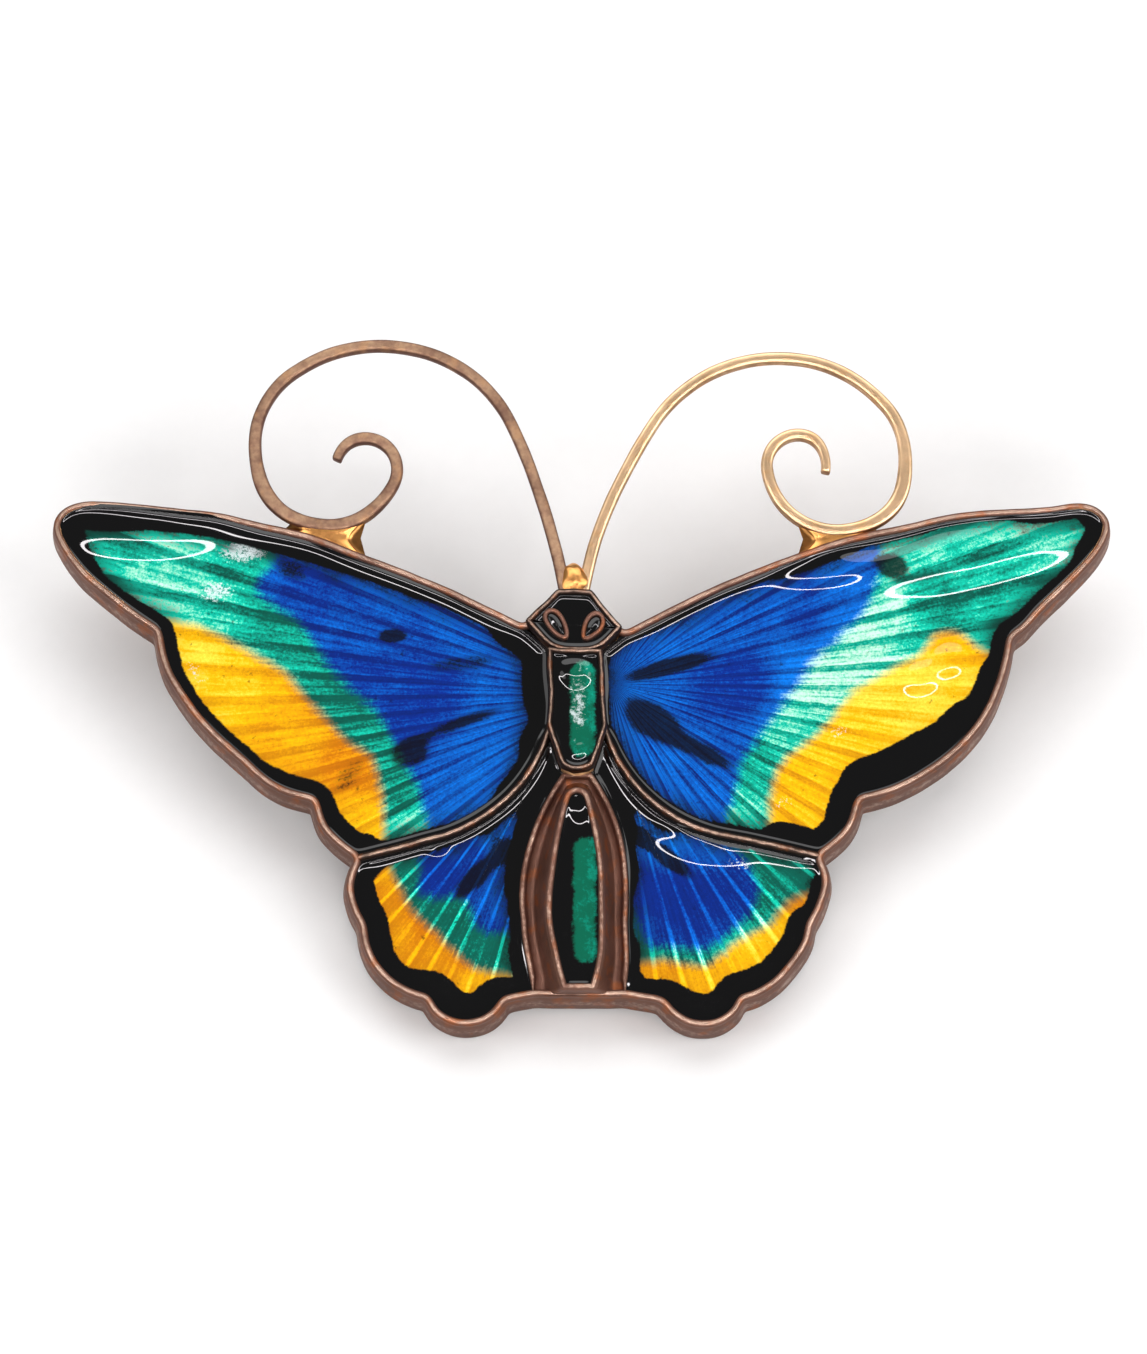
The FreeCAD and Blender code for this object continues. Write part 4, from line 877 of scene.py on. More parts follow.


# ---- where the colours lie, in millimetres of the face frame -------------------------------------
# green and yellow: the line where that colour starts; margin: width of the black border near a place;
# light: how thin and bright the enamel is near a place; dark: blotches; bloom: patches of pale
# specks painted as glints of light; fan: centre of the rays. The plan is drawn a little larger than the
# brooch and off its middle, by PLAN_SCALE and PLAN_SHIFT

PLAN_SCALE, PLAN_SHIFT = (1.014, 1.033), (0.28, 0.06)
COLOUR_PLAN = {
    ("forewing", -1): {
        "green": [(-14.0, 13.0), (-14.1, 10.8), (-15.1, 9.0), (-13.1, 7.4), (-12.2, 6.0), (-10.8, 4.3),
                  (-9.5, 3.0), (-8.3, 1.1), (-7.3, -1.0), (-6.7, -3.5)],
        "yellow": [(-22.0, 8.2), (-18.6, 7.4), (-17.4, 7.1), (-15.2, 5.8), (-13.9, 5.0), (-12.5, 3.5),
                   (-10.7, 1.5), (-9.6, 0.7), (-9.1, -0.8), (-8.9, -2.7), (-8.9, -4.5)],
        "margin": [(-24.5, 12.0, 1.0), (-22.5, 12.9, 1.15), (-17.5, 12.6, 0.9), (-13.0, 11.2, 0.9),
                   (-9.0, 9.6, 0.75), (-5.0, 8.0, 0.6), (-2.2, 5.9, 1.1), (-1.6, 4.0, 1.25),
                   (-1.7, 2.0, 0.9), (-2.7, -0.3, 0.5), (-4.5, -1.9, 0.2), (-8.0, -3.4, 0.2),
                   (-10.6, -3.6, 0.85), (-12.5, -1.2, 0.7), (-16.0, 0.9, 0.45), (-18.8, 3.5, 0.45),
                   (-19.8, 6.5, 0.6), (-22.3, 9.0, 0.45), (-24.0, 10.5, 0.7)],
        "light": [(-22, 11, 0.5), (-20, 9.5, 0.75), (-17.5, 8.3, 0.65), (-15, 10, 0.35), (-14, 7.2, 0.25),
                  (-11, 3.6, 0.1), (-8, -1.2, 0.2), (-7.3, -2.4, 0.7), (-4.5, 6.6, 0.5), (-3.2, 4, 0.5),
                  (-3.9, 1, 0.65), (-5.8, -1, 0.7), (-7, 3.5, 0.05), (-10, 7.5, 0.3), (-9, 9.0, 0.5),
                  (-12.5, 9.0, 0.2), (-18, 6, 0.7), (-16, 4.5, 0.6), (-13, 2, 0.4), (-10.5, 0, 0.15),
                  (-10, -2.3, 0.5)],
        "dark": [(-8.6, 6.6, 0.7, 0.36, 0, 1.0), (-7.7, 0.9, 1.0, 0.75, 20, 0.9),
                 (-5.4, 2.3, 2.2, 0.32, 20, 0.75), (-5.3, 5.2, 1.8, 0.45, 4, 0.55),
                 (-10.5, -0.2, 1.1, 0.6, 50, 0.42), (-13.4, 9.9, 1.0, 0.5, -30, 0.5)],
        "bloom": [(-15.7, 10.9, 1.4, 0.65, 0, 0.85), (-17.0, 8.9, 1.0, 0.6, 0, 0.8),
                  (-17.9, 5.0, 1.0, 0.35, -55, 0.5), (-10.1, -3.3, 0.7, 0.4, 0, 0.5)],
        "fan": (1.35, 3.7), "spacing": 4.9},
    ("forewing", 1): {
        "green": [(14.6, 13.5), (14.35, 10.2), (13.95, 8.7), (13.4, 7.5), (12.4, 6.6), (11.3, 5.4),
                  (10.1, 3.7), (9.2, 2.5), (8.3, 1.3), (7.8, 0.4), (7.4, -1.1), (7.0, -2.4), (6.7, -4.0)],
        "yellow": [(21.0, 5.4), (19.1, 6.1), (18.6, 6.45), (17.8, 6.9), (17.0, 6.75), (16.5, 6.2),
                   (15.9, 5.6), (14.6, 4.9), (13.0, 3.9), (12.3, 3.0), (11.2, 1.75), (9.9, 0.7),
                   (9.3, -0.3), (9.05, -1.2), (8.95, -2.4), (8.9, -4.5)],
        "margin": [(24.6, 11.8, 0.8), (23.3, 13.0, 0.45), (19.0, 12.8, 0.2), (15.0, 12.0, 0.3),
                   (11.0, 10.6, 0.6), (7.5, 9.3, 0.35), (4.5, 8.0, 0.4), (2.2, 6.3, 0.35),
                   (1.5, 4.0, 0.2), (1.7, 2.0, 0.2), (2.8, -0.3, 0.2), (5.0, -2.1, 0.2), (8.0, -3.3, 0.3),
                   (9.6, -3.7, 1.1), (11.2, -3.0, 0.95), (12.2, -1.3, 1.1), (13.6, -0.9, 1.85),
                   (16.0, 0.4, 1.75), (18.2, 2.0, 1.45), (19.4, 4.2, 0.9), (20.1, 6.4, 0.65),
                   (21.8, 8.0, 0.5), (23.6, 9.6, 0.45)],
        "light": [(22, 12, 0.75), (17, 11, 0.6), (20.5, 9.0, 0.4), (17, 8.3, 0.3), (14.8, 8.2, 0.8),
                  (13, 6, 0.95), (11.2, 4.2, 0.95), (9.7, 2.2, 0.75), (8.5, 0.2, 0.4), (8.2, -1.9, 0.6),
                  (3, 6, 0.6), (6, 7.5, 0.5), (2.2, 3, 0.65), (4.5, 0, 0.6), (6, -1.6, 0.6),
                  (7.5, 4, 0.05), (10.5, 8, 0.35), (13.2, 9.7, 0.7), (16, 4, 0.75), (12.5, 1.5, 0.6),
                  (10.3, -1, 0.5)],
        "dark": [(4.4, 5.05, 2.3, 0.42, 15, 1.0), (3.6, 2.35, 1.6, 0.85, -34, 1.1),
                 (5.9, 0.9, 1.7, 0.5, -28, 0.8), (14.85, 10.1, 0.85, 0.65, -15, 1.0),
                 (16.6, 9.6, 1.6, 0.3, 12, 0.4), (12.9, 3.4, 0.5, 0.25, 30, 0.3)],
        "bloom": [(12.3, 1.9, 0.6, 0.4, 20, 0.5), (9.6, -1.6, 0.8, 0.4, 0, 0.45)],
        "fan": (1.65, 4.2), "spacing": 5.3},
    ("hindwing", -1): {
        "green": [(-6.9, -2.6), (-7.1, -3.8), (-7.25, -5.7), (-6.7, -6.1), (-5.9, -6.15), (-5.1, -6.4),
                  (-4.7, -7.3), (-4.1, -7.75), (-3.2, -7.85), (-1.5, -7.9)],
        "yellow": [(-9.3, -3.4), (-8.7, -4.4), (-8.4, -5.1), (-7.9, -6.1), (-7.4, -6.9), (-6.8, -7.5),
                   (-6.0, -8.3), (-5.4, -8.9), (-4.7, -9.45), (-3.8, -9.7), (-3.0, -9.85), (-1.5, -10)],
        "margin": [(-10.4, -4.3, 0.85), (-10.2, -6.5, 1.1), (-9.6, -8.2, 1.05), (-8.6, -9.8, 0.8),
                   (-7.0, -11.4, 1.25), (-5.6, -12.0, 1.7), (-4.2, -11.4, 1.15), (-3.2, -10.9, 1.1),
                   (-2.7, -9.6, 0.8), (-2.5, -7.5, 0.5), (-2.2, -4.5, 0.75), (-1.6, -2.0, 1.6),
                   (-1.2, 0.0, 2.0), (-3.3, -1.6, 0.35), (-6.0, -2.9, 0.25), (-8.6, -3.7, 0.3)],
        "light": [(-6.4, -5.0, 0.1), (-4.0, -3.0, 0.75), (-5.2, -3.6, 0.35), (-3.3, -6.3, 0.55),
                  (-8.1, -4.3, 0.35), (-6.5, -6.9, 0.1), (-4.5, -8.6, 0.05), (-8.6, -7.5, 0.3),
                  (-6.5, -9.4, 0.3), (-4.2, -10.3, 0.5)],
        "dark": [(-4.6, -5.1, 1.35, 0.5, 47, 1.0), (-3.3, -3.9, 0.8, 0.6, 60, 0.9)],
        "bloom": [(-9.4, -4.0, 0.6, 0.3, 0, 0.4)],
        "fan": (-0.55, 2.3), "spacing": 4.2},
    ("hindwing", 1): {
        "green": [(6.7, -2.4), (7.1, -3.5), (8.05, -4.6), (8.4, -5.9), (7.85, -7.1), (6.7, -8.15),
                  (5.9, -8.6), (4.6, -8.6), (3.4, -8.4), (2.9, -7.6), (2.5, -6.3), (2.0, -5.2)],
        "yellow": [(12.0, -5.5), (10.4, -6.0), (9.6, -6.6), (9.1, -7.3), (8.2, -7.8), (7.3, -8.4),
                   (6.6, -8.95), (5.8, -9.4), (4.4, -9.2), (3.2, -9.2), (1.5, -9.2)],
        "margin": [(10.6, -4.4, 0.15), (10.8, -6.0, 0.5), (10.4, -7.4, 0.85), (9.4, -9.2, 0.95),
                   (8.2, -10.6, 1.05), (7.3, -11.0, 1.15), (5.6, -11.9, 1.4), (4.0, -11.2, 1.0),
                   (3.0, -10.6, 0.8), (2.6, -9.2, 0.5), (2.5, -7.0, 0.22), (2.3, -4.2, 0.5),
                   (1.6, -2.0, 1.7), (1.2, 0.0, 2.0), (3.3, -1.6, 0.4), (6.0, -2.9, 0.12),
                   (8.6, -3.7, 0.12)],
        "light": [(4.3, -2.9, 0.85), (6.3, -3.5, 0.6), (4.0, -6.3, 0.0), (6.0, -6.0, 0.1),
                  (3.0, -7.9, 0.3), (9.4, -5.0, 0.15), (8.2, -5.6, 0.3), (8.6, -8.3, 0.65),
                  (6.0, -9.8, 0.5), (4.0, -9.5, 0.35)],
        "dark": [(4.2, -4.2, 1.6, 0.42, -40, 1.0), (2.9, -3.2, 0.6, 0.5, -60, 0.9)],
        "bloom": [(7.6, -4.5, 0.7, 0.4, -20, 0.5)],
        "fan": (1.9, 1.9), "spacing": 5.5},
}
# how strongly the enamel climbs the rims near a place, and where it stands in low swellings
CLIMB = {
    "forewing": [(5, 8.3, 1), (11, 10.8, 1), (17, 12.3, 1), (22, 12.8, 0.9), (24.6, 11.5, 0.5),
                 (22, 8.5, 0.22), (20, 6, 0.2), (17.5, 2.5, 0.2), (14, -0.5, 0.2), (12.5, -1.3, 0.2),
                 (11, -3.5, 0.25), (8, -3.2, 0.25), (4, -1.8, 0.3), (2, 2, 0.4), (1.5, 5, 0.7)],
    "hindwing": [(3, -1.6, 0.9), (6, -3, 0.9), (9, -3.7, 0.8), (10.5, -5.5, 0.3), (10.3, -8, 0.2),
                 (8, -10.6, 0.2), (5.6, -11.8, 0.2), (3.2, -10.6, 0.2), (2.4, -7, 0.3), (2, -3, 0.6)]}
CLIMB_SHARE = {("forewing", -1): 1.0, ("forewing", 1): 0.9, ("hindwing", -1): 0.4, ("hindwing", 1): 0.8}
SWELLINGS = {
    ("forewing", -1): [(-20.6, 12.3, 4.4, 1.45, -3, 0.28), (-17.0, 9.6, 1.0, 0.5, 0, 0.05)],
    ("forewing", 1): [(11.6, 9.95, 2.7, 0.8, 8, 0.15), (19.3, 11.0, 6.4, 1.45, 15, 0.27),
                      (16.2, 4.6, 1.0, 0.7, 20, 0.12), (17.5, 5.5, 0.9, 0.7, 20, 0.12)],
    ("hindwing", -1): [(-6.4, -3.6, 0.5, 0.4, 0, 0.06)],
    ("hindwing", 1): [(5.9, -3.4, 2.0, 0.8, -10, 0.15)]}
# where pale specks are painted as glints on the thorax
BODY_GLINTS = [(0.12, 3.0, 2.3, 0.55, 90, 0.66)]
BODY_SWELLINGS = [(0.0, 4.6, 0.75, 0.8, 0, 0.16), (0.1, 0.6, 0.5, 0.35, 20, 0.06),
                  (0.1, -2.1, 0.4, 0.55, 0, 0.09)]
CELL_CENTRE = {"forewing": (12.0, 6.0), "hindwing": (4.3, -5.2)}
# painted light and shade across one ray, as ramp stops: the forewings' rays are broad bright faces with a
# dark cut, the hindwings' thin bright lines
RAY_LIGHT_STOPS = {
    "forewing": [(0.0, 0.55), (0.08, 0.95), (0.3, 0.8), (0.37, 0.45), (0.44, 0.9), (0.66, 0.75),
                 (0.74, 0.1), (0.84, 0.1)],
    "hindwing": [(0.0, 0.5), (0.3, 0.44), (0.38, 1.0), (0.5, 1.0), (0.6, 0.4), (0.9, 0.46)]}
# how strongly each wing's rays show their painted light and painted shade
RAY_LIGHT_STRENGTH = {"forewing": 1.0, "hindwing": 2.0}

# antennae: wire bent through five arcs that always turn the same way, as (radius, degrees). The wire
# touches its wing in the arc numbered WIRE_TOUCH, counted from 0
WIRE_ROOT, WIRE_HEADING, WIRE_LEVEL, WIRE_TOUCH = (0.4, 8.4), 81.0, 1.2, 3
WIRE_ARCS = {
    -1: [(24.2, 21.5), (7.25, 94.0), (4.15, 102.0), (3.5, 104.0), (1.55, 190.0)],
    1: [(22.9, 22.0), (7.0, 107.0), (3.65, 123.0), (3.25, 94.0), (1.5, 200.0)],
}


def wing_skin(wing, side, sizes, seed):
    """Height of wing enamel: tray height - sink - drop, plus rise * share * the exponential of
    -distance / (reach * (0.3 + 0.7 * share)), where share says how strongly it climbs the rims there,
    plus slow waves and the low swellings of each cell."""
    sink, rise, reach, ripple = (value / MM for value in (
        sizes.enamel_sink, sizes.skin_rise, sizes.skin_reach, sizes.skin_ripple))

    def level(points, distance):
        share = CLIMB_SHARE[wing, side] * blended(points * (side, 1), CLIMB[wing])
        fall = np.maximum(distance - RIM_FACE, 0) / (reach * (0.3 + 0.7 * share))
        return (TRAY_HEIGHT - sink - drop(points[:, 0]) + rise * share * np.exp(-fall)
                + ripple * ripples(points[:, 0], points[:, 1], seed)
                + blotches(on_plan(points), SWELLINGS[wing, side]))
    return level


def wing_fields(wing, side):
    """The colour plan of a wing, worked out at any points: signed distances over the green, yellow and
    black lines, values blended between anchors, and the turn and radius round the fan's centre."""
    plan = COLOUR_PLAN[wing, side]

    def fields(points, distance):
        away = (points - plan["fan"]) * (side, 1)
        turned = np.degrees(np.arctan2(-away[:, 0], -away[:, 1]) if wing == "hindwing"
                            else np.arctan2(away[:, 1], away[:, 0]))
        return {
            "green": side * nearest(points, smooth_curve(plan["green"]), False),
            "yellow": side * nearest(points, smooth_curve(plan["yellow"]), False),
            "black": blended(points, plan["margin"]) + RIM_FACE - distance,
            "light": blended(points, plan["light"]),
            "dark": blotches(points, plan["dark"]),
            "bloom": blotches(points, plan["bloom"]),
            # 100 whole rays keep the count of rays above zero, and show nothing
            "ray": turned / plan["spacing"] + 100,
            "radius": np.hypot(*away.T)}
    return fields


# ---- the stage, in metres and watts --------------------------------------------------------------

# what the camera looks at, in millimetres of the face frame
AIM = (-0.38, 4.26)
SOFT_LIGHTS = (  # name, degrees round from the front, degrees up, width, height, power
    ("top_softbox", 180, 52, 0.6, 0.3, 1.5), ("left_softbox", -80, 38, 0.3, 0.3, 0.5),
    ("right_softbox", 80, 38, 0.3, 0.3, 0.9), ("front_fill", 0, 35, 0.5, 0.2, 1.0))
LIGHT_DISTANCE = 0.45
CAMERA_UP, CAMERA_DISTANCE = 65, 0.1732
# the loop lamp: its two radii, how far each half is drawn aside, and its middle seen from the camera
LOOP_INNER, LOOP_OUTER, LOOP_STRETCH, LOOP_POINTS = 0.033, 0.039, 0.085, 96
LOOP_OFFSET = (0.0, 0.011, 0.005)
# strengths of the even light of the room and of the loop lamp
ROOM_GLOW, LOOP_GLOW = 0.22, 26.0


def seen_from(azimuth, elevation):
    """Unit vector towards a place so many degrees round from the front and up from the card."""
    a, e = math.radians(azimuth), math.radians(elevation)
    return Vector((math.sin(a) * math.cos(e), -math.cos(a) * math.cos(e), math.sin(e)))


def put(name, data, place, turn):
    """Put a thing of the stage in the scene."""
    item = bpy.data.objects.new(name, data)
    bpy.context.scene.collection.objects.link(item)
    item.location, item.rotation_euler = place, turn
    return item


class BROOCH_OT_stage(Operator):
    """Pale floor, soft lights and the camera"""
    bl_idname = "brooch.stage"
    bl_label = "Stage"

    def execute(self, context):
        scene = context.scene
        shades = scene.brooch_colours
        # white card: matt, with a cloudiness of fibres 0.8 mm across that the eye hardly sees
        material, tree, shader = begin_material("white_card")
        fibre = add(tree, "TexNoise", {"Vector": add(tree, "TexCoord").outputs["Object"],
                                       "Scale": per_mm(0.8), "Detail": 4.0}).outputs["Fac"]
        greyer = tuple(0.97 * level for level in shades.floor)
        card = add(tree, "Mix", {0: fibre, 6: shades.floor, 7: greyer}, data_type="RGBA")
        feed(tree, shader, {"Base Color": card, "Roughness": 0.9})
        mesh = bpy.data.meshes.new("floor")
        mesh.from_pydata([(-1, -1, 0), (1, -1, 0), (1, 1, 0), (-1, 1, 0)], [], [(0, 1, 2, 3)])
        mesh.materials.append(material)
        put("floor", mesh, (0, 0, 0), (0, 0, 0))

        scene.world = scene.world or bpy.data.worlds.new("studio")
        scene.world.use_nodes = True
        feed(scene.world.node_tree, scene.world.node_tree.nodes["Background"],
             {"Color": (1.0, 0.99, 0.98, 1), "Strength": ROOM_GLOW})
        target = Vector(in_room(*AIM, TRAY_HEIGHT).tolist())
        for name, azimuth, elevation, width, height, power in SOFT_LIGHTS:
            lamp = bpy.data.lights.new(name, "AREA")
            lamp.shape, lamp.size, lamp.size_y, lamp.energy = "RECTANGLE", width, height, power
            away = seen_from(azimuth, elevation)
            put(name, lamp, target + away * LIGHT_DISTANCE, away.to_track_quat("Z", "Y").to_euler())

        back = seen_from(0, CAMERA_UP)
        camera = put("camera", bpy.data.cameras.new("camera"), target + back * CAMERA_DISTANCE,
                     (-back).to_track_quat("-Z", "Y").to_euler())
        camera.data.lens, camera.data.sensor_width, camera.data.clip_start = 100, 36, 0.01
        scene.camera = camera
        scene.view_settings.view_transform = "Standard"

        # a long thin loop lamp round the lens, two half circles drawn apart: it gives the eye the thin
        # loops of light in the enamel
        cosine, sine = turn_points(0, 360 - 360 / LOOP_POINTS, LOOP_POINTS)
        apart = LOOP_STRETCH * np.sign(np.round(cosine, 6))
        points = np.vstack([np.stack([radius * cosine + apart, radius * sine, 0 * sine], axis=1)
                            for radius in (LOOP_INNER, LOOP_OUTER)])
        mesh = bpy.data.meshes.new("loop_lamp")
        mesh.from_pydata(points.tolist(), [], grid_faces(2, LOOP_POINTS, False).tolist())
        material, tree, shader = begin_material("loop_lamp")
        feed(tree, shader, {"Emission Color": (1, 0.95, 0.97, 1), "Emission Strength": LOOP_GLOW})
        mesh.materials.append(material)
        lamp = put("loop_lamp", mesh, camera.location + Vector(LOOP_OFFSET),
                   camera.rotation_euler)
        lamp.visible_camera = lamp.visible_diffuse = False
        return {"FINISHED"}


# ---- tray and rims ------------------------------------------------------------------------------

def cad_copy(name, node, material, body, refit=None):
    """A finished copy of a CAD part, which it hides: its triangles are merged, refit moves its points,
    and its sharp edges stay crisp."""
    work = bmesh.new()
    work.from_mesh(frame["nodes"][node].data)
    bmesh.ops.remove_doubles(work, verts=work.verts, dist=1e-7)
    bmesh.ops.dissolve_limit(work, angle_limit=math.radians(0.5), verts=work.verts, edges=work.edges)
    bmesh.ops.recalc_face_normals(work, faces=work.faces)
    mesh = bpy.data.meshes.new(name)
    work.to_mesh(mesh)
    work.free()
    mesh.materials.clear()
    mesh.shade_smooth()
    if refit:
        places = np.empty(3 * len(mesh.vertices), np.float32)
        mesh.vertices.foreach_get("co", places)
        mesh.vertices.foreach_set("co", refit(places.reshape(-1, 3).astype(float)).ravel())
    mesh.set_sharp_from_angle(angle=SHARP)
    return settle(mesh, material, body, [node])


# how the tray's own wall is tucked in behind the finished rims: how near the edge it follows it and draws
# in, how far its crests sink (further under the abdomen's ridges), and what lies under head and abdomen
FOLLOW_REACH, WALL_REACH, FLOOR_TOP, UNDER_HEAD_TOP = 1.5, 0.1, 1.2, 1.7
CREST_SINK, RIDGE_SINK = 0.15, 0.5
BODY_SPLIT, HEAD_HALF, RIDGE_HALF = -0.1, 2.4, 2.5


def follow_rim(points):
    """Move the tray's own wall in behind the rounded rim: each point goes the way its nearest stretch of
    edge goes when it is eased, times the exponential of -(distance / reach) squared; walls draw in and
    crests sink, then the hand's fit is added."""
    x, y, z = points.T / MM
    y, z = y - SHIFT, z - LIFT
    y, z = y * LEAN_COS + z * LEAN_SIN, z * LEAN_COS - y * LEAN_SIN
    edge = even(tray_edge(), 0.05, True)
    gap = (x[:, None] - edge[:, 0]) ** 2 + (y[:, None] - edge[:, 1]) ** 2
    near = gap.argmin(axis=1)
    distance = np.sqrt(gap[np.arange(len(x)), near])
    move = (eased(tray_edge()) - edge)[near] * np.exp(-(distance / FOLLOW_REACH) ** 2)[:, None]
    move -= sideways(edge, True)[near] * INSET * np.exp(-(distance / WALL_REACH) ** 2)[:, None]
    under_abdomen = (np.abs(x) < RIDGE_HALF) & (y < BODY_SPLIT)
    under_head = (np.abs(x) < HEAD_HALF) & (y > BODY_SPLIT)
    z = np.where(under_head, np.minimum(z, UNDER_HEAD_TOP), z)
    sink = (CREST_SINK + RIDGE_SINK * under_abdomen) * (z > FLOOR_TOP)
    return to_world(x + move[:, 0], y + move[:, 1], z - sink)


class BROOCH_OT_tray(Operator):
    """Stamped tray under the enamel, with its plain back"""
    bl_idname = "brooch.tray"
    bl_label = "Tray"

    def execute(self, context):
        shades = context.scene.brooch_colours
        # stamped silver-gilt: soft gold where it looks up, browner as painted shade on the faces that look
        # down to the card
        gilding = worn_gilding("stamped_silver_gilt", shades.soft_gold, shades.umber, shades.rust, 0.34,
                               crest=False, wear=0.65, ragged=0.11, spotting=0.12)
        cad_copy("tray", "wing_tray", gilding, "brooch", follow_rim)
        return {"FINISHED"}


class BROOCH_OT_rims(Operator):
    """Rounded rims of the tray, cloisons, head and thorax"""
    bl_idname = "brooch.rims"
    bl_label = "Rims"

    def execute(self, context):
        sizes, shades = context.scene.brooch_sizes, context.scene.brooch_colours
        # gilding rubbed to a pale brown along each rim's top, with a painted highlight there, and painted
        # shade, nearly black, down its sides
        rubbed = worn_gilding("rubbed_and_highlit_rims", shades.copper, shades.tarnish_and_shade, shades.rust, 0.3, wear=0.3,
                              ragged=0.2, spotting=0.4)
        # the outer side and the eye rings are browned, with reddish spots, and each is painted lighter
        # along its top, the outer side also on the middle of its side and its foot, as rubbing and as
        # painted highlight
        browned = worn_gilding("browned_and_highlit_edge", shades.copper, shades.umber, shades.rust, 0.34, wear=0.3,
                               ragged=0.2)
        made = [(browned, swept("edge_rim", eased(tray_edge()), True,
                                lambda run, whole: edge_section(sizes, run, whole), edge_light_and_wear(),
                                domed=True))]
        for side, word in SIDE_NAMES.items():
            made.append((rubbed, rim_sweep("divider_rim_" + word, divider_line(side), False, TRAY_HEIGHT,
                                           sizes, 20 + side, domed=True)))
        for name, edge, top, seed in (("head_rim", head_edge(), HEAD_HEIGHT, 31),
                                      ("thorax_rim", thorax_edge(), THORAX_HEIGHT, 41)):
            made.append((rubbed, rim_sweep(name, set_in(collared(edge), INSET), True, top, sizes, seed,
                                           half=0.125)))
        for side, word in SIDE_NAMES.items():
            made.append((browned, rim_sweep("eye_ring_" + word, eye_oval(side, 0.64, 0.34, 90), True,
                                            HEAD_HEIGHT - 0.02, sizes, 50 + side, half=0.1, foot=2.0,
                                            shine=0.35)))
        for material, mesh in made:
            settle(mesh, material, "brooch", ["wing_tray"])
        return {"FINISHED"}


def abdomen_ridges(sizes):
    """Section carried round two outlines that match point for point: half a circle on the outer one, a
    channel from it to the inner one, and half a circle on that. The channel, with t from 0 at the outer
    ridge to 1, climbs by ((t - 0.35) / 0.65) to the power 1.5 from a floor that turns up at the ridge by
    0.16 (1 - t) to the sixth."""
    counts, bell, channel_floor, half = [170, 90, 40], np.hanning(15)[1:-1], 1.62, 0.14
    outer = mean_along(both_sides([RIDGE_TOP, RIDGE_WIDE, RIDGE_TAIL], [0.65, 0.1], counts=counts), bell)
    inner = mean_along(abdomen_rim(counts), bell)
    out_left, in_left = (sideways(line, True)[:, None, :] for line in (outer, inner))
    outer, inner = outer[:, None, :], inner[:, None, :]
    crown = sizes.rim_rise / MM - half
    cosine, sine = turn_points(0, 180, BEAD_POINTS)
    t = np.linspace(0, 1, BEAD_POINTS + 1)

    ridge_x = half * np.append(0.95, cosine) - INSET
    ridge_z = np.append(1.5, TRAY_HEIGHT + crown + half * sine)
    # the ridge's inner side draws in where it meets the tail
    narrow = np.where(ridge_x < 0, np.clip((outer[..., 1] - TAIL[1]) / 0.8, 0, 1), 1)
    ridge = outer + out_left * (ridge_x * narrow)[..., None]
    rim_x = half * np.append(cosine, -0.95) - INSET
    rim_z = np.append(ABDOMEN_HEIGHT + crown + half * sine, 2.6)
    rim = inner + in_left * rim_x[:, None]
    channel = ridge[:, -1:] + (rim[:, :1] - ridge[:, -1:]) * t[:, None]
    channel_z = (channel_floor + (rim_z[0] - channel_floor) * np.clip((t - 0.35) / 0.65, 0, 1) ** 1.5
                 + 0.16 * (1 - t) ** 6)

    section = np.concatenate([ridge, channel, rim, inner, outer], axis=1)
    heights = np.concatenate([ridge_z, channel_z, rim_z, [WALL_FOOT, WALL_FOOT]])
    run, whole = lengths(outer[:, 0], True)
    heights = heights + unevenness(sizes, run, whole, (1.2, 2.9, 6.0), 61)
    # lighter along the ridges' tops, darker down their sides: rubbing, with painted highlight and painted
    # shade
    crest = np.concatenate([[0.1], 0.2 + 0.6 * sine, 0.3 + 0.2 * t, 0.2 + 0.6 * sine, [0, 0, 0]])
    return tube("abdomen_ridges", section[..., 0], section[..., 1], heights, True, crest)


class BROOCH_OT_abdomen(Operator):
    """Abdomen: low outer ridge, a bare channel, and a shoulder up to the raised rim"""
    bl_idname = "brooch.abdomen"
    bl_label = "Abdomen ridges"

    def execute(self, context):
        shades = context.scene.brooch_colours
        # bare metal of the channel: brown and blotched with copper red, paler along the tops of its two
        # ridges, as rubbing and as painted highlight, and darker down their sides, as painted shade
        bare = worn_gilding("bare_channel", shades.copper, shades.umber, shades.rust, 0.36, wear=0.3)
        settle(abdomen_ridges(context.scene.brooch_sizes), bare, "brooch", ["wing_tray"])
        return {"FINISHED"}


# ---- enamel -------------------------------------------------------------------------------------

class BROOCH_OT_wing_enamel(Operator):
    """Enamel of the four wing cells"""
    bl_idname = "brooch.wing_enamel"
    bl_label = "Wing enamel"

    def execute(self, context):
        sizes, shades = context.scene.brooch_sizes, context.scene.brooch_colours
        for wing, rings, seed in (("forewing", 76, 3), ("hindwing", 56, 8)):
            material = fired_wing_enamel("fired_%s_enamel" % wing, shades, sizes, RAY_LIGHT_STOPS[wing],
                                         RAY_LIGHT_STRENGTH[wing])
            for side, word in SIDE_NAMES.items():
                name = "%s_%s" % (word, wing)
                centre = tuple(np.array(CELL_CENTRE[wing]) * (side, 1))
                mesh = enamel_fill(name + "_skin", wing_cell(side, wing), centre, rings,
                                   wing_skin(wing, side, sizes, seed + side), 0.6,
                                   wing_fields(wing, side), 1.8)
                settle(mesh, material, "brooch", [name + "_enamel"])
        return {"FINISHED"}


def body_skin(height, crown, half_width):
    """Height of body enamel: highest along its middle by crown * (1 - (x / half width) squared), climbing
    the walls by 0.05 times the exponential of -distance / 0.1, plus small waves and swellings."""
    def level(points, distance):
        return (height + crown * (1 - (points[:, 0] / half_width) ** 2)
                + 0.05 * np.exp(-np.maximum(distance - RIM_FACE, 0) / 0.1)
                + 0.006 * ripples(points[:, 0] * 3, points[:, 1] * 3, 77)
                + blotches(points, BODY_SWELLINGS))
    return level


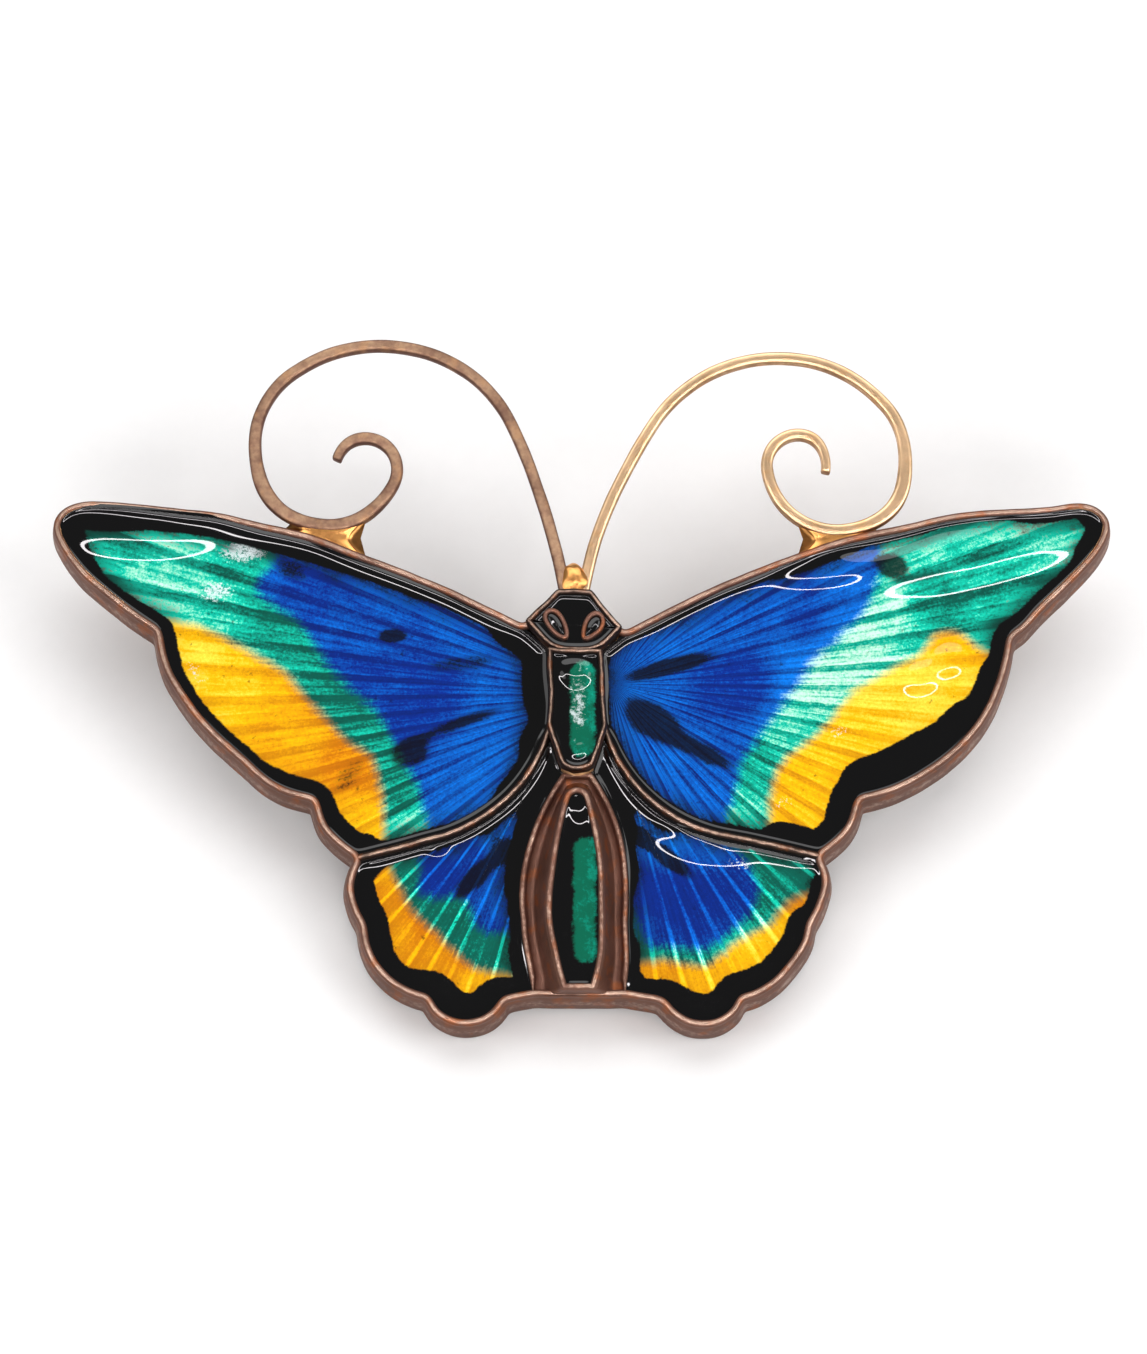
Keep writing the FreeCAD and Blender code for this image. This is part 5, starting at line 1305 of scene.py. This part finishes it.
def green_stripe(left, right, low, high):
    """Signed distance into an upright band of green with a round top and foot; it is lighter to the right,
    with pale specks painted as glints down its middle."""
    centre, half = (left + right) / 2, (right - left) / 2

    def fields(points, distance):
        beyond = np.maximum(np.maximum(low + half - points[:, 1], points[:, 1] - high + half), 0)
        return {"green": half - np.hypot(np.abs(points[:, 0] - centre), beyond),
                "light": np.clip(0.35 + 0.25 * (points[:, 0] - centre) / half, 0, 1),
                "bloom": blotches(points, BODY_GLINTS)}
    return fields


def all_black(points, distance):
    """No green anywhere."""
    return {"green": np.full(len(points), -1.0), "light": np.zeros(len(points))}


def drop_skin(points, distance):
    """Height of the drop in an eye ring: flat, and down to the ring by 0.12 times what is left of
    (distance / 0.3) to the power 0.7."""
    return HEAD_HEIGHT - 0.16 + 0.12 * np.minimum(distance / 0.3, 1) ** 0.7


class BROOCH_OT_body_enamel(Operator):
    """Enamel of head, thorax and abdomen, with a drop in each eye ring"""
    bl_idname = "brooch.body_enamel"
    bl_label = "Body enamel"

    def execute(self, context):
        material = fired_body_enamel("fired_body_enamel", context.scene.brooch_colours)
        for name, line, centre, level, fields in (
                ("head", collared(head_edge()), (0, 6.9), body_skin(HEAD_HEIGHT - 0.22, 0.03, 2.2),
                 all_black),
                ("thorax", collared(thorax_edge()), (0, 2.5), body_skin(THORAX_HEIGHT - 0.3, 0.1, 1.4),
                 green_stripe(-0.3, 0.95, 0.35, 5.0)),
                ("abdomen", softened(abdomen_rim(), 0.08), (0, -7),
                 body_skin(ABDOMEN_HEIGHT - 0.3, 0.1, 1.3), green_stripe(-0.15, 0.98, -9.5, -3.5))):
            mesh = enamel_fill(name + "_skin", set_in(line, INSET), centre, 40, level, 0.4, fields, 1.5)
            settle(mesh, material, "brooch", [name + "_enamel"])
        for side, word in SIDE_NAMES.items():
            mesh = enamel_fill("eye_drop_" + word, eye_oval(side, 0.62, 0.32, 60),
                               (side * EYE[0], EYE[1]), 16, drop_skin, 0.3, all_black, 1.3)
            settle(mesh, material, "brooch", ["head_enamel"])
        return {"FINISHED"}


# ---- wires and solder ---------------------------------------------------------------------------

def wire_path(side):
    """The wire's middle line: arcs of given radius and turn, each tangent to the last, always turning
    clockwise on the right and the other way on the left."""
    place, heading = np.array(WIRE_ROOT), math.radians(WIRE_HEADING)
    parts = []
    for radius, degrees in WIRE_ARCS[side]:
        turn = math.radians(degrees)
        centre = place + radius * np.array([math.sin(heading), -math.cos(heading)])
        angles = heading - np.linspace(0, turn, max(8, int(radius * turn / 0.12)), endpoint=False)
        parts.append(centre - radius * np.stack([np.sin(angles), -np.cos(angles)], axis=1))
        heading -= turn
        place = centre - radius * np.array([math.sin(heading), -math.cos(heading)])
    return even(np.vstack(parts + [place[None]]), 0.08, False) * (side, 1)


# how much the wire's width swells, as a share, and how far it sways
WIRE_SWELL, WIRE_SWAY = 0.03, 0.012


def bent_wire(name, side, sizes):
    """Square-cut wire: its section is a superellipse, each half width times cosine or sine to a small
    power with its sign kept, that swells and sways a little along the wire."""
    half_width, half_depth = sizes.wire_width / MM / 2, sizes.wire_depth / MM / 2
    power = 2 * sizes.wire_corner / sizes.wire_width + 0.06
    turn = ring_turn(32)
    across, up = (half * np.sign(part) * np.abs(part) ** power for half, part in (
        (half_width, np.cos(turn)), (half_depth, np.sin(turn))))

    def section(run, whole):
        swell = 1 + WIRE_SWELL * wobble(run, whole, (1.3, 2.9, 6.1), 70 + side)[:, None]
        sway = WIRE_SWAY * wobble(run, whole, (2.5, 5.3, 9.0), 80 + side)[:, None]
        return across * swell + sway, up * (2 - swell)
    # painted highlight along the wire's top and painted shade underneath; the right wire a little lighter
    # all over
    return swept(name, wire_path(side), False, section, 0.45 + 0.08 * side + 0.4 * np.sin(turn),
                 level=WIRE_LEVEL, end_scale=((0, 0.86), (-1, 0.9)))


class BROOCH_OT_antennae(Operator):
    """The two bent wires"""
    bl_idname = "brooch.antennae"
    bl_label = "Antennae"

    def execute(self, context):
        sizes, shades = context.scene.brooch_sizes, context.scene.brooch_colours
        # drawn gilt wire, filed by hand: the left one has dulled to an even bronze, the right one keeps
        # its bright gold; each has a painted highlight along its top and painted shade on its sides and
        # underneath, deeper gold on the right one
        gildings = {
            -1: worn_gilding("dulled_wire_gilding", shades.dull_gold, shades.umber, shades.soft_gold,
                             0.38, wear=0.4, grain_mm=0.3, ragged=0.14, spotting=0.5),
            1: worn_gilding("bright_wire_gilding", shades.bright_gold, shades.soft_gold,
                            shades.solder_gold, 0.3, wear=0.5, grain_mm=0.3, ragged=0.2, spotting=0.3)}
        for side, word in SIDE_NAMES.items():
            settle(bent_wire(word + "_antenna_wire", side, sizes), gildings[side], "brooch",
                   [word + "_antenna"])
        return {"FINISHED"}


# a web's half length, how hollow its ends are, and its half thickness at its edges and less in its middle
WEB_HALF, WEB_HOLLOW, WEB_THICK, WEB_THIN = 2.05, 0.42, 0.3, 0.1
# the leading edge between head and bend: its middle and half its span along x
LEAD_MIDDLE, LEAD_HALF = 9.63, 7.38


def solder_web(name, side):
    """Web of solder from the leading edge (across = 0) to the wire (across = 1), along from -1 to 1. With
    h the sine of (pi * across), its half length is half * (1 - hollow * h), and its half thickness is
    (thick - thin * h) times the root of (1 - along cubed), with low lumps from the flame."""
    path = wire_path(side) * (side, 1)
    foot = path[np.argmin(np.where(path[:, 0] > 8, path[:, 1], np.inf))]
    radius = WIRE_ARCS[side][WIRE_TOUCH][0]
    turn = ring_turn(36)
    along = np.linspace(-1, 1, 61)[:, None]
    across = 0.5 + 0.56 * np.cos(turn)
    hollow = np.sin(np.pi * np.clip(across, 0, 1))
    x = foot[0] + 0.15 + WEB_HALF * along * (1 - WEB_HOLLOW * hollow)
    # the leading edge is its chord and a parabola's bulge over it; the web starts a little inside it
    slope = (LEAD_BEND[1] - HEAD_SIDE[1]) / (LEAD_BEND[0] - HEAD_SIDE[0])
    edge = (HEAD_SIDE[1] + (x - HEAD_SIDE[0]) * slope
            + LEAD_BULGE * (1 - ((x - LEAD_MIDDLE) / LEAD_HALF) ** 2) - 0.1)
    lean = np.clip(x - foot[0], -radius * 0.9, radius * 0.9)
    wire = foot[1] + radius - np.sqrt(radius ** 2 - lean ** 2)
    y = edge + (wire - edge) * across
    thick = (WEB_THICK - WEB_THIN * hollow) * np.sqrt(np.clip(1 - np.abs(along) ** 3, 0, 1)) + 0.02
    z = WIRE_LEVEL + 0.02 + thick * np.sin(turn) + 0.03 * ripples(x * 2.2, y * 2.2, 90 + side)
    # painted highlight along the web's top and painted shade underneath
    return tube(name, side * x, y, z, False, 0.5 + 0.45 * np.sin(turn))


# the bead's middle along y, and its half sizes
BEAD_MIDDLE, BEAD_ACROSS, BEAD_ALONG, BEAD_DEEP = 9.1, 0.7, 0.85, 0.46


def solder_bead(name):
    """Bead at the head: a ball pressed flat, narrower towards the wires, with lumps from the flame that
    run three and five times round it."""
    turn, up = ring_turn(36), np.radians(np.linspace(-84, 84, 29))[:, None]
    lumps = 1 + 0.07 * np.sin(3 * turn + 1) * np.cos(up) + 0.05 * np.sin(5 * turn + 4 * up)
    x = BEAD_ACROSS * np.cos(up) * np.cos(turn) * lumps * (1 - 0.2 * np.cos(up) * np.sin(turn))
    y = BEAD_MIDDLE + BEAD_ALONG * np.cos(up) * np.sin(turn) * lumps
    return tube(name, x, y, WIRE_LEVEL + 0.04 + BEAD_DEEP * np.sin(up), False, 0.8)


class BROOCH_OT_solder(Operator):
    """Flowed solder at the head and where the wires meet the wings"""
    bl_idname = "brooch.solder"
    bl_label = "Solder"

    def execute(self, context):
        shades = context.scene.brooch_colours
        # solder gilt over: warm, bright and lumpy, with dark flux in patches; the webs are painted lighter
        # along the top and darker underneath, as painted highlight and painted shade
        gilding = worn_gilding("flowed_solder", shades.solder_gold, shades.tarnish_and_shade, shades.rust, 0.28,
                               wear=0.62, grain_mm=0.35)
        for side, word in SIDE_NAMES.items():
            settle(solder_web(word + "_web", side), gilding, "brooch", [word + "_antenna_solder"])
        settle(solder_bead("root_bead"), gilding, "brooch", ["antenna_root_solder"])
        return {"FINISHED"}


# ---- the back -----------------------------------------------------------------------------------

class BROOCH_OT_findings(Operator):
    """Patches, hinge, pin and catch on the back"""
    bl_idname = "brooch.findings"
    bl_label = "Findings"

    def execute(self, context):
        sizes, shades = context.scene.brooch_sizes, context.scene.brooch_colours
        # pressed and soldered findings: a satin gold, browned a little on the faces that look down, as
        # painted shade
        satin = worn_gilding("satin_gilt_findings", shades.soft_gold, shades.umber, shades.rust, 0.3,
                             crest=False, wear=0.8, ragged=0.16, spotting=0.25)
        # drawn and turned parts that rub in use: a paler, glossier gold, a little darker, as painted
        # shade, where they face down
        drawn = worn_gilding("drawn_pin", shades.pin_gold, shades.soft_gold, shades.solder_gold, 0.2,
                             crest=False, wear=0.9, spotting=0.3)
        for node, body, material, finish in (
                ("hinge_patch", "brooch", satin, "gilt_findings"),
                ("catch_patch", "brooch", satin, "gilt_findings"),
                ("hinge_bracket", "brooch", satin, "gilt_findings"),
                ("hinge_rivet", "brooch", satin, "gilt_findings"),
                ("catch_housing", "brooch", satin, "gilt_findings"),
                ("catch_roller", "roller", drawn, "gilt_findings"),
                ("pin_stem", "pin", drawn, "pin_metal")):
            piece = cad_copy(node + "_finished", node, material, body)
            soften = piece.modifiers.new("soft edges", "BEVEL")
            soften.width, soften.segments = sizes.edge_round, 2
            soften.limit_method, soften.angle_limit = "ANGLE", SHARP
        return {"FINISHED"}


class BROOCH_PT_panel(Panel):
    """Lists the brooch's sizes and colours, and its pieces in the order in which they are built"""
    bl_idname = "BROOCH_PT_panel"
    bl_label = "Butterfly brooch"
    bl_space_type = "VIEW_3D"
    bl_region_type = "UI"
    bl_category = "Brooch"

    def draw(self, context):
        for group in (context.scene.brooch_sizes, context.scene.brooch_colours):
            for name in group.__annotations__:
                self.layout.prop(group, name)
        for step in STEPS:
            self.layout.operator(step.bl_idname)


STEPS = (BROOCH_OT_stage, BROOCH_OT_tray, BROOCH_OT_rims, BROOCH_OT_abdomen, BROOCH_OT_wing_enamel,
         BROOCH_OT_body_enamel, BROOCH_OT_antennae, BROOCH_OT_solder, BROOCH_OT_findings)
CLASSES = (BroochSizes, BroochColours, *STEPS, BROOCH_PT_panel)


def register():
    """Make the brooch's sizes, colours, pieces and panel known."""
    for item in CLASSES:
        bpy.utils.register_class(item)
    bpy.types.Scene.brooch_sizes = PointerProperty(type=BroochSizes)
    bpy.types.Scene.brooch_colours = PointerProperty(type=BroochColours)


def unregister():
    """Take them away again."""
    del bpy.types.Scene.brooch_sizes, bpy.types.Scene.brooch_colours
    for item in reversed(CLASSES):
        bpy.utils.unregister_class(item)


def main():
    """Build every piece in order."""
    register()
    for step in STEPS:
        group, action = step.bl_idname.split(".")
        getattr(getattr(bpy.ops, group), action)()


if __name__ == "__main__":
    main()
